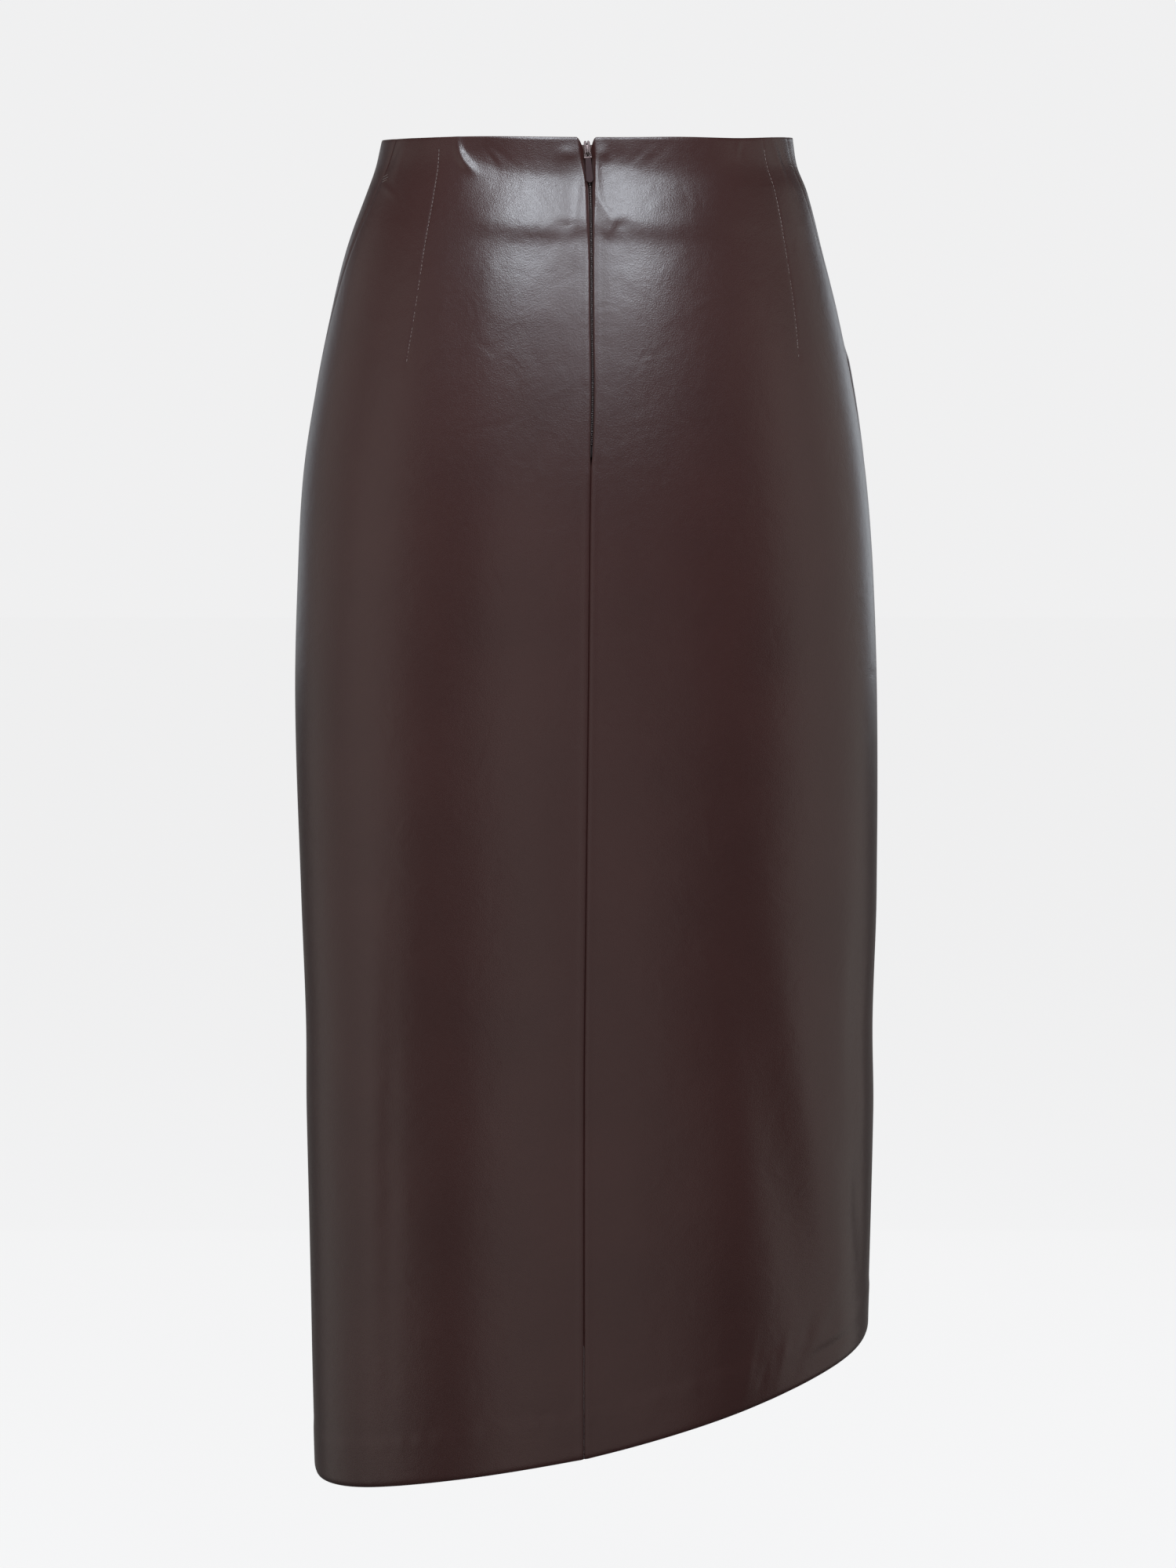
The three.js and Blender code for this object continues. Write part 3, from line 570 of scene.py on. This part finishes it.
def panel_grid(where, side):
    """Outer and inner points and normals of a panel, rows down and columns across.

    Rows are level down to LEVEL_TO, and below it they fan out so that the last one is the hem.
    """
    s = sizes()
    back_length = s.back_length / MM
    drops = drop_rows()
    grid = {"outer": [], "inner": [], "normal": []}
    for first, second, share in panel_columns(where, side):
        def angle_at(z):
            return guide_angle(first, z) * (1 - share) + guide_angle(second, z) * share

        top_x = form_point(angle_at(0.0), 0.0)[0]
        length = -hem_z(form_point(angle_at(-back_length), -back_length)[0])
        edge_step = first[3] if first[0] == "edge" and share == 0 else FAR
        level = -drops + (notch(edge_step) + waist_rise(top_x)) * np.clip(1 - drops / TOP_FADE, 0, 1)
        fan = -LEVEL_TO - (drops - LEVEL_TO) * (length - LEVEL_TO) / (back_length - LEVEL_TO)
        z = np.where(drops <= LEVEL_TO, level, fan)
        angle = angle_at(z)
        bare = form_point(angle, z)
        normal = form_normal(angle, z)
        x = bare[:, 0]
        drop = np.where(drops <= LEVEL_TO, drops, -z)
        here = side if where == "back" else (1 if np.mean(x) > 0 else -1)
        edge = here * (x - centre_x(z)) - zip_half(z) if where == "back" else FAR + 0 * x
        turn = angle - side_angle(here, z)
        seam = np.abs(np.arctan2(np.sin(turn), np.cos(turn))) * half_width(here, z) - SEWN_HALF
        out = relief(where, here, x, z, drop, length, edge, seam)
        turned_in = 1 - ease(s.turn_in / MM - 3, s.turn_in / MM + 3, drop)
        turned_up = 1 - ease(s.turn_up / MM - 2, s.turn_up / MM + 3, length - drop)
        to_edge = np.minimum(drop, length - drop)
        rim = 1 - RIM_THIN["share"] * bell(to_edge, RIM_THIN["reach"])
        wall = s.cloth / MM + s.folded / MM * np.maximum(turned_in, turned_up) * rim
        round_off = RIM_ROUND["share"] * s.cloth / MM * bell(to_edge, RIM_ROUND["reach"])
        grid["outer"].append(bare + normal * (out - round_off)[:, None])
        grid["inner"].append(bare + normal * (out - wall + round_off)[:, None])
        grid["normal"].append(normal)
    return {key: np.stack(value, axis=1) for key, value in grid.items()} | {"drops": drops}


def link(name, data, *materials):
    for material in materials:
        data.materials.append(material)
    obj = bpy.data.objects.new(name, data)
    bpy.context.scene.collection.objects.link(obj)
    return obj


def smooth_mesh(name, points, faces):
    mesh = bpy.data.meshes.new(name)
    mesh.from_pydata(points, [], faces)
    mesh.polygons.foreach_set("use_smooth", np.ones(len(faces), bool))
    mesh.update()
    return mesh


def wall_mesh(name, outer, inner):
    """A closed wall between two grids of points; the inner face has material 1, the rest 0."""
    rows, columns = outer.shape[:2]
    index = np.arange(rows * columns).reshape(rows, columns)
    skip = rows * columns

    def quads(grid, flip):
        corners = [grid[:-1, :-1], grid[1:, :-1], grid[1:, 1:], grid[:-1, 1:]]
        return np.stack(corners[::-1] if flip else corners, axis=-1).reshape(-1, 4)

    def rim(a, b):
        return np.stack([a[:-1], b[:-1], b[1:], a[1:]], axis=-1).reshape(-1, 4)

    faces = [
        quads(index, False),
        quads(index + skip, True),
        rim(index[0], index[0] + skip)[:, ::-1],
        rim(index[-1], index[-1] + skip),
        rim(index[:, 0], index[:, 0] + skip),
        rim(index[:, -1], index[:, -1] + skip)[:, ::-1],
    ]
    points = np.concatenate([outer.reshape(-1, 3), inner.reshape(-1, 3)]) * MM
    corners = np.concatenate(faces)
    area = points[corners]
    if np.einsum("ij,ij->i", area[:, 0], np.cross(area[:, 1], area[:, 2])).sum() < 0:
        corners = corners[:, ::-1]
    mesh = smooth_mesh(name, points.tolist(), corners.tolist())
    inside = np.repeat([0, 1, 0, 0, 0, 0], [len(part) for part in faces])
    mesh.polygons.foreach_set("material_index", inside)
    return mesh


def setup(node, **values):
    """Sets a node's properties, or else its inputs, with _ for a blank in their names."""
    for key, value in values.items():
        if hasattr(node, key):
            setattr(node, key, value)
        else:
            node.inputs[key.replace("_", " ")].default_value = value
    return node


def scaled(colour, by):
    return tuple(by * value for value in colour)


class Surface:
    """A material in the making: its principled shader and the nodes that feed it."""

    def __init__(self, name):
        self.material = bpy.data.materials.new(name)
        self.material.use_nodes = True
        self.nodes, self.links = self.material.node_tree.nodes, self.material.node_tree.links
        self.nodes.clear()
        self.shader = self.nodes.new("ShaderNodeBsdfPrincipled")
        output = self.nodes.new("ShaderNodeOutputMaterial")
        self.links.new(self.shader.outputs["BSDF"], output.inputs["Surface"])
        self.space = self.nodes.new("ShaderNodeTexCoord").outputs["Object"]

    def made(self, kind, result, sources, **values):
        """The output of a new node that is fed from the sources, by the names of its inputs."""
        node = setup(self.nodes.new(kind), **values)
        for entry, socket in sources.items():
            self.links.new(socket, node.inputs[entry])
        return node.outputs[result]

    def texture(self, kind, result, **values):
        return self.made("ShaderNodeTex" + kind, result, {"Vector": self.space}, **values)

    def noise(self, scale, detail=2.0, **values):
        return self.texture("Noise", "Fac", Scale=scale, Detail=detail, **values)

    def summed(self, base, parts):
        """A socket's value with weighted others added to it."""
        for socket, weight in parts:
            base = self.made("ShaderNodeMath", "Value", {0: socket, 2: base}, operation="MULTIPLY_ADD")
            base.node.inputs[1].default_value = weight
        return base

    def bump(self, height, strength, distance):
        sources = {"Height": height}
        bent = self.made("ShaderNodeBump", "Normal", sources, Strength=strength, Distance=distance)
        self.links.new(bent, self.shader.inputs["Normal"])

    def gloss(self, value, low, high):
        spread = self.made("ShaderNodeMapRange", "Result", {"Value": value}, To_Min=low, To_Max=high)
        self.links.new(spread, self.shader.inputs["Roughness"])

    def tone(self, factor, first, second):
        tone = self.made("ShaderNodeValToRGB", "Color", {"Fac": factor})
        ends = zip(tone.node.color_ramp.elements, (0.3, 0.7), (first, second))
        for element, position, colour in ends:
            element.position, element.color = position, (*colour, 1)
        self.links.new(tone, self.shader.inputs["Base Color"])


def leather_material():
    """Glossy coated cloth: a fine pebble grain, small pores, a slow swell and slow changes of gloss."""
    c = colours()
    make = Surface("skirt_leather")
    pebble = make.texture("Voronoi", "Distance", feature="SMOOTH_F1", Scale=1350.0, Smoothness=0.5)
    pores, warp, swell = make.noise(2500.0, 1.0), make.noise(340.0), make.noise(52.0, Distortion=0.6)
    make.bump(make.summed(pebble, ((pores, 0.45), (warp, 0.7), (swell, 6.0))), 0.5, 0.0001)
    make.tone(make.noise(14.0, 3.0), c.leather, c.leather_worn)
    make.gloss(warp, 0.30, 0.36)
    setup(make.shader, IOR=1.5)
    return make.material


def cloth_material(name, colour, scale, rough):
    """Woven or knitted cloth: crossing fine waves with a little unevenness."""
    make = Surface(name)
    across, down = (make.texture("Wave", "Fac", bands_direction=axis, Scale=scale) for axis in "XZ")
    weave = make.made("ShaderNodeMath", "Value", {0: across, 1: down}, operation="MULTIPLY")
    make.bump(weave, 0.5, 0.0002)
    make.tone(make.noise(90.0), colour, scaled(colour, 1.5))
    setup(make.shader, Roughness=rough, Sheen_Weight=0.15)
    return make.material


def hard_material(name, colour, worn, rough, metallic, ior=1.5):
    """Lacquered metal or moulded nylon with fine scuffs."""
    make = Surface(name)
    scuffs = make.noise(900.0, 4.0, Roughness=0.6)
    make.tone(scuffs, colour, worn)
    make.gloss(scuffs, rough - 0.08, rough + 0.1)
    make.bump(scuffs, 0.15, 0.00005)
    setup(make.shader, Metallic=metallic, IOR=ior)
    return make.material


# The grids of the panels as built, by node, for the operators that come after.
GRIDS = {}
PANELS = (("back_left", "back", -1), ("back_right", "back", 1), ("front", "front", 1))


class SKIRT_OT_panels(bpy.types.Operator):
    """Builds the two back panels and the front panel as thin shells with seams, darts and creases"""

    bl_idname = "skirt.panels"
    bl_label = "Leather panels"

    def execute(self, context):
        leather = leather_material()
        backing = cloth_material("backing", colours().backing, 260.0, 0.85)
        for node, where, side in PANELS:
            grid = panel_grid(where, side)
            GRIDS[node] = grid
            shell = wall_mesh(node, grid["outer"], grid["inner"])
            panel = link("leather_" + node, shell, leather, backing)
            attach(panel, "skirt")
            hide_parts(node)
        return {"FINISHED"}


def stitch_line(grid, dart, start, end, pitch):
    """Short dashes along a dart's seam on a panel's outer face: both ends and the normal of each."""
    rows = grid["outer"]
    heights = rows[:, :, 2].mean(axis=1)
    dashes = []
    z = start
    while z > end:
        ends = []
        for height in (z, z - pitch * STITCH_DUTY):
            i = int(np.argmin(np.abs(heights - height)))
            x = float(dart_x(*dart, height))
            j = int(np.argmin(np.abs(rows[i, :, 0] - x)))
            point = rows[i, j].copy()
            normal = grid["normal"][i, j]
            tangent = rows[min(i + 1, len(rows) - 1), j] - rows[max(i - 1, 0), j]
            point += tangent * (height - point[2]) / tangent[2]
            point[0] = x
            sunk = STITCH_SINK * ease(*STITCH_SINKS, (start - height) / (start - end))
            ends.append(point + normal * (STITCH_LIFT - sunk))
        dashes.append((*ends, normal))
        z -= pitch
    return dashes


def ring(centre, first, second):
    turns = [2 * math.pi * k / TUBE_SIDES for k in range(TUBE_SIDES)]
    return [centre + first * math.cos(a) + second * math.sin(a) for a in turns]


def tube_mesh(name, tubes, material):
    """One mesh of closed tubes, each given as its rings of points from end to end."""
    points, faces = [], []
    for rings in tubes:
        base = len(points)
        points += [tuple(point * MM) for loop in rings for point in loop]
        last = len(points) - TUBE_SIDES
        for low in range(base, last, TUBE_SIDES):
            for k in range(TUBE_SIDES):
                a, b = low + k, low + (k + 1) % TUBE_SIDES
                faces.append((a, b, b + TUBE_SIDES, a + TUBE_SIDES))
        faces.append(tuple(base + k for k in reversed(range(TUBE_SIDES))))
        faces.append(tuple(last + k for k in range(TUBE_SIDES)))
    return link(name, smooth_mesh(name, points, faces), material)


def stitch_rings(start, end, normal):
    """A small rounded thread, thickest in its middle."""
    run = end - start
    across = np.cross(run, normal)
    across *= STITCH_RADIUS / np.linalg.norm(across)
    up = np.cross(across, run) / np.linalg.norm(run)
    return [ring(start + run * share, across * swell, up * swell) for share, swell in STITCH_RINGS]


def tack_dashes(node, x, z, lean):
    grid = GRIDS[node]
    dashes = []
    for k in (-1, 0, 1):
        ends = []
        for t in (-1, 1):
            at_x = x + t * TACK["half"]
            at_z = z + k * TACK["apart"] + lean * t * TACK["lean"]
            flat = ((grid["outer"][:, :, ::2] - (at_x, at_z)) ** 2).sum(axis=2)
            i, j = np.unravel_index(np.argmin(flat), flat.shape)
            ends.append(grid["outer"][i, j] + grid["normal"][i, j] * TACK["lift"])
        if np.linalg.norm(ends[0] - ends[1]) > TACK["shortest"]:
            dashes.append((*ends, grid["normal"][i, j]))
    return dashes


def split_side(grid, side):
    """The half of the front panel that lies on one side."""
    middle = grid["outer"].shape[1] // 2
    part = slice(0, middle) if side > 0 else slice(middle, None)
    return {key: grid[key][:, part] for key in ("outer", "normal")}


class SKIRT_OT_stitches(bpy.types.Operator):
    """Sews the dart seams and side tacks on each panel"""

    bl_idname = "skirt.stitches"
    bl_label = "Stitches"

    def execute(self, context):
        thread = cloth_material("thread", colours().thread, 900.0, 0.5)
        pitch = sizes().stitch / MM
        for node, where, side in PANELS:
            grid = GRIDS[node]
            dashes = []
            for facing in (side,) if where == "back" else (-1, 1):
                end = STITCH_STOP - DARTS[(where, facing)][2]
                half = grid if where == "back" else split_side(grid, facing)
                dashes += stitch_line(half, (where, facing), STITCH_START, end, pitch)
            for panel, x, z, lean in TACKS:
                if panel == node:
                    dashes += tack_dashes(node, x, z, lean)
            piece = tube_mesh("stitches_" + node, [stitch_rings(*dash) for dash in dashes], thread)
            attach(piece, "skirt")
            panel = bpy.data.objects["leather_" + node]
        return {"FINISHED"}


def rows_between(grid, drops):
    return slice(*np.searchsorted(grid["drops"], [drops[0], drops[1] + 0.01]))


class SKIRT_OT_zip(bpy.types.Operator):
    """Lays the zip's tapes, coil and slider behind the centre back edges"""

    bl_idname = "skirt.zip"
    bl_label = "Zip"

    def execute(self, context):
        c = colours()
        tape = cloth_material("zip_tape", c.tape, 420.0, 0.8)
        gap = sizes().seam_gap / MM
        for node, side in (("back_left", -1), ("back_right", 1)):
            grid = GRIDS[node]
            rows = rows_between(grid, TAPE_DROPS)
            inner, normal = (grid[key][rows, : len(EDGE_STEPS)] for key in ("inner", "normal"))

            def face(depth):
                points = inner - normal * depth
                edge = points[:, :1].copy()
                edge[:, 0, 0] = centre_x(edge[:, 0, 2]) + side * gap / 2
                return np.concatenate([edge, points], axis=1)

            name = "zip_tape_left" if side < 0 else "zip_tape_right"
            strip = wall_mesh(name, face(gap), face(gap + TAPE_THICK))
            piece = link("woven_" + name, strip, tape, tape)
            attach(piece, "skirt")
            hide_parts(name)
        build_coil(c)
        build_slider(c)
        return {"FINISHED"}


def coil_lines():
    """Points along the coil's face and along the bottom of its channel, and the cloth's normals."""
    left, right = GRIDS["back_left"], GRIDS["back_right"]
    rows = rows_between(left, COIL_DROPS)
    middle, floor = ((left[key][rows, 0] + right[key][rows, 0]) / 2 for key in ("outer", "inner"))
    return middle, floor, left["normal"][rows, 0]


def coil_rings(at, lean, reach, lines):
    """One turn of the coil: a short bent bar that stands on both sides of its channel."""
    centre, bottom, normal = (
        np.array([np.interp(at, reach, line[:, axis]) for axis in range(3)]) for line in lines
    )
    normal /= np.linalg.norm(normal)
    room = float(zip_half(centre[2])) - COIL["clear"]
    width = min(1.0, room / COIL["half"])
    down = normal * float(normal[2]) - np.array([0.0, 0.0, 1.0])
    down /= np.linalg.norm(down)
    across = np.cross(down, normal)
    deep = float(np.dot(centre - bottom, normal)) - COIL["clear"]
    foot = -min(COIL["leg"], deep - COIL["high"])
    along, out = COIL["thread"]
    rings = []
    for u, v in COIL_PROFILE:
        height = (foot if v is None else v * COIL["high"]) - COIL["sunk"]
        spot = centre + (across * width + down * lean) * u + normal * height
        rings.append(ring(spot, down * along, normal * out))
    return rings


def build_coil(c):
    """The coil's turns, one for each pitch and leaning to either side in turn, as one mesh."""
    lines = coil_lines()
    steps = np.linalg.norm(np.diff(lines[0], axis=0), axis=1)
    reach = np.concatenate([[0], np.cumsum(steps)])
    pitch = sizes().coil_pitch / MM
    turns = [
        coil_rings((k + 0.5) * pitch, COIL["lean"] * (1 if k % 2 else -1), reach, lines)
        for k in range(int(reach[-1] / pitch))
    ]
    nylon = hard_material("zip_coil", c.coil, scaled(c.coil, 1.8), 0.2, 0.0)
    coil = tube_mesh("zip_coil_turns", turns, nylon)
    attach(coil, "skirt")
    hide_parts("zip_coil")


def head_matrix():
    """Where the slider stands: on the centre back line, along the cloth's slope and lean."""
    low, high, depth = section("back", (HEAD_Z - HEAD_SPAN, min(0, HEAD_Z + HEAD_SPAN), HEAD_Z))
    slope = math.atan2(low - high, 2 * HEAD_SPAN)
    place = Matrix.Translation(Vector((centre_x(HEAD_Z), -depth, HEAD_Z)) * MM)
    turn = Matrix.Rotation(-slope, 4, "X") @ Matrix.Rotation(-math.radians(HEAD_LEAN), 4, "Y")
    return place @ turn


def extruded(name, *loops, depth, bevel):
    """A plate with rounded rims, from its outline in millimetres and those of its holes."""
    curve = bpy.data.curves.new(name, "CURVE")
    curve.dimensions = "2D"
    curve.fill_mode = "BOTH"
    curve.extrude = (depth / 2 - bevel) * MM
    curve.bevel_depth = bevel * MM
    curve.bevel_resolution = 2
    curve.offset = -bevel * MM
    for loop in loops:
        spline = curve.splines.new("POLY")
        spline.points.add(len(loop) - 1)
        for point, (x, y) in zip(spline.points, loop):
            point.co = (x * MM, y * MM, 0, 1)
        spline.use_cyclic_u = True
    holder = link(name, curve)
    bpy.context.view_layer.update()
    seen = holder.evaluated_get(bpy.context.evaluated_depsgraph_get())
    mesh = bpy.data.meshes.new_from_object(seen)
    bpy.data.objects.remove(holder)
    mesh.materials.clear()
    mesh.name = name
    return mesh


def mirrored(side):
    """A whole outline from its right side; a point on the middle line is kept once."""
    return [*side, *((-x, y) for x, y in reversed(side) if x)]


def rounded(corners, radius, steps=4):
    """A closed outline with each corner rounded off."""
    made = []
    count = len(corners)
    for k in range(count):
        before, here, after = (np.array(corners[(k + d) % count], float) for d in (-1, 0, 1))
        reach_in, reach_out = np.linalg.norm(before - here), np.linalg.norm(after - here)
        cut = min(radius, 0.45 * reach_in, 0.45 * reach_out)
        start = here + (before - here) / reach_in * cut
        end = here + (after - here) / reach_out * cut
        for t in np.linspace(0, 1, steps):
            made.append(tuple((1 - t) ** 2 * start + 2 * t * (1 - t) * here + t * t * end))
    return made


def build_slider(c):
    """The slider's body, a plate with its nose parted in two, and the bridge that holds the pull."""
    metal = hard_material("slider_metal", c.metal, scaled(c.metal, 2.4), 0.3, 0.75)
    body = extruded("slider_body", rounded(mirrored(SLIDER_SIDE), 0.5), depth=2.6, bevel=0.3)
    body.transform(Matrix.Translation((0, SLIDER_IN * MM, 0)) @ UPRIGHT)
    hole = rounded(BRIDGE_HOLE, 0.3)
    bridge = extruded("slider_bridge", rounded(BRIDGE, 0.6), hole, depth=1.3, bevel=0.25)
    bridge.transform(EDGEWISE)
    bridge.flip_normals()
    slider = join([link("slider_a", body, metal), link("slider_b", bridge, metal)], "slider")
    slider.data.transform(head_matrix())
    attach(slider, "skirt")
    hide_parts("zip_slider")


def join(objects, name):
    first = objects[0]
    with bpy.context.temp_override(
        active_object=first, object=first, selected_objects=objects, selected_editable_objects=objects
    ):
        bpy.ops.object.join()
    first.name = name
    return first


class SKIRT_OT_pull(bpy.types.Operator):
    """Hangs the wire loop and tab on the slider's bridge"""

    bl_idname = "skirt.pull"
    bl_label = "Zip pull"

    def execute(self, context):
        c = colours()
        wire = hard_material("loop_wire", scaled(c.metal, 1.4), scaled(c.metal, 3.4), 0.24, 0.9)
        paint = hard_material("tab_paint", c.pull, scaled(c.pull, 1.4), 0.6, 0.0, ior=1.22)
        hole = rounded(mirrored(LOOP_HOLE_SIDE), 0.4)
        loop = extruded("pull_loop", rounded(mirrored(LOOP_SIDE), 0.7), hole, depth=0.8, bevel=0.3)
        tab = extruded("pull_tab", rounded(TAB, 0.45), depth=0.9, bevel=0.28)
        for mesh in (loop, tab):
            mesh.transform(UPRIGHT)
        pull = join([link("pull_a", loop, wire), link("pull_b", tab, paint)], "pull")
        hang = Matrix.Translation((0, -PIVOT_OUT * MM, PIVOT_UP * MM))
        pull.data.transform(head_matrix() @ hang)
        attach(pull, "pull")
        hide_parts("zip_pull")
        return {"FINISHED"}


COOL = (0.84, 0.92, 1.0)
WARM = (1.0, 0.94, 0.88)

# Studio lights: degrees round from the camera's side towards the picture's right, degrees above the
# horizon, width and height in metres, watts and colour.
LIGHTS = (
    ("top_left", -19.5, 42, 0.40, 0.46, 21.5, COOL),
    ("top_right", 13, 43, 0.46, 0.46, 22.0, COOL),
    ("glow", 4, 27, 0.5, 0.3, 2.3, COOL),
    ("left_tall", -67, -4, 1.0, 2.4, 5.6, WARM),
    ("left_far", -105, -4, 1.5, 2.4, 4.9, WARM),
    ("right_tall", 70, -4, 0.95, 2.4, 5.2, WARM),
    ("right_far", 105, -4, 1.5, 2.4, 6.4, WARM),
    ("front_left", -15, -16, 0.8, 1.7, 2.7, WARM),
    ("front_right", 11, -22, 0.7, 1.3, 1.5, WARM),
    ("left_back", -146, 6, 0.9, 0.7, 1.2, COOL),
    ("right_back", 144, 6, 0.9, 0.7, 2.6, COOL),
    ("far_top", 168, 46, 0.8, 0.6, 15.0, COOL),
    ("far_wide", 180, -4, 2.2, 2.4, 2.6, WARM),
)
LIGHT_AWAY = 2.0
AIM = Vector((0, 0, -0.38))
# Strength of the pale surroundings where they only light the cloth.
FILL = 0.122
# The floor, in metres: half its side, its height, the two shares of its tone and its own light.
FLOOR_REACH, FLOOR_LEVEL = 9.0, -1.22
FLOOR_TONES = (0.10, 0.105)
FLOOR_GLOW = 0.97
# The camera as fitted to the photograph: its lens, its place in metres and the degrees it looks down.
LENS = 83.46
CAMERA_AT = (0, -2.2377, -0.0584)
CAMERA_DOWN = 8.524


def floor_material(studio):
    """Plain pale floor that is lit from itself, so that it looks the same all round."""
    make = Surface("studio_floor")
    make.tone(make.noise(3.0), *(scaled(studio, share) for share in FLOOR_TONES))
    setup(make.shader, Roughness=0.9, Emission_Color=(*studio, 1), Emission_Strength=FLOOR_GLOW)
    return make.material


def surroundings(studio):
    """A world that is pale to the camera and a weak fill to everything else."""
    world = bpy.data.worlds.new("studio")
    world.use_nodes = True
    nodes, links = world.node_tree.nodes, world.node_tree.links
    nodes.clear()
    path = nodes.new("ShaderNodeLightPath")
    choose = nodes.new("ShaderNodeMixShader")
    output = nodes.new("ShaderNodeOutputWorld")
    links.new(path.outputs["Is Camera Ray"], choose.inputs["Fac"])
    for slot, strength in ((1, FILL), (2, 1.0)):
        light = setup(nodes.new("ShaderNodeBackground"), Color=(*studio, 1), Strength=strength)
        links.new(light.outputs["Background"], choose.inputs[slot])
    links.new(choose.outputs["Shader"], output.inputs["Surface"])
    return world


def area_light(name, round_by, above, width, height, power, colour):
    a, e = math.radians(round_by), math.radians(above)
    away = Vector((math.sin(a) * math.cos(e), -math.cos(a) * math.cos(e), math.sin(e)))
    data = bpy.data.lights.new(name, "AREA")
    data.shape = "RECTANGLE"
    data.size, data.size_y, data.energy, data.color = width, height, power, colour
    lamp = link(name, data)
    lamp.location = AIM + away * LIGHT_AWAY
    lamp.rotation_euler = (-away).to_track_quat("-Z", "Y").to_euler()
    lamp.visible_camera = False


class SKIRT_OT_stage(bpy.types.Operator):
    """Sets the floor, the soft lights, the pale surroundings and the camera"""

    bl_idname = "skirt.stage"
    bl_label = "Stage"

    def execute(self, context):
        scene = context.scene
        studio = tuple(colours().studio)
        mesh = bpy.data.meshes.new("floor")
        r = FLOOR_REACH
        corners = [(x, y, FLOOR_LEVEL) for x, y in ((-r, -r), (r, -r), (r, r), (-r, r))]
        mesh.from_pydata(corners, [], [(0, 1, 2, 3)])
        floor = link("floor", mesh, floor_material(studio))
        floor.visible_glossy = False
        floor.visible_diffuse = False
        for light in LIGHTS:
            area_light(*light)
        scene.world = surroundings(studio)
        scene.view_settings.view_transform = "Standard"
        camera_data = bpy.data.cameras.new("camera")
        camera_data.sensor_width = 36
        camera_data.lens = LENS
        camera = link("camera", camera_data)
        camera.location = CAMERA_AT
        camera.rotation_euler = (math.radians(90 - CAMERA_DOWN), 0, 0)
        scene.camera = camera
        return {"FINISHED"}


class SKIRT_PT_sidebar(bpy.types.Panel):
    """Lists the skirt's sizes, colours and building steps"""

    bl_idname = "SKIRT_PT_sidebar"
    bl_label = "Skirt"
    bl_space_type = "VIEW_3D"
    bl_region_type = "UI"
    bl_category = "Skirt"

    def draw(self, context):
        for group in (context.scene.skirt_sizes, context.scene.skirt_colours):
            for name in group.bl_rna.properties.keys():
                if name not in ("rna_type", "name"):
                    self.layout.prop(group, name)
        for operator in OPERATORS:
            self.layout.operator(operator.bl_idname)


OPERATORS = (SKIRT_OT_panels, SKIRT_OT_stitches, SKIRT_OT_zip, SKIRT_OT_pull, SKIRT_OT_stage)
CLASSES = (SkirtSizes, SkirtColours, *OPERATORS, SKIRT_PT_sidebar)


def register():
    for cls in CLASSES:
        bpy.utils.register_class(cls)
    bpy.types.Scene.skirt_sizes = bpy.props.PointerProperty(type=SkirtSizes)
    bpy.types.Scene.skirt_colours = bpy.props.PointerProperty(type=SkirtColours)


def unregister():
    del bpy.types.Scene.skirt_colours
    del bpy.types.Scene.skirt_sizes
    for cls in reversed(CLASSES):
        bpy.utils.unregister_class(cls)


def main():
    register()
    bpy.ops.skirt.panels()
    bpy.ops.skirt.stitches()
    bpy.ops.skirt.zip()
    bpy.ops.skirt.pull()
    bpy.ops.skirt.stage()


if __name__ == "__main__":
    main()
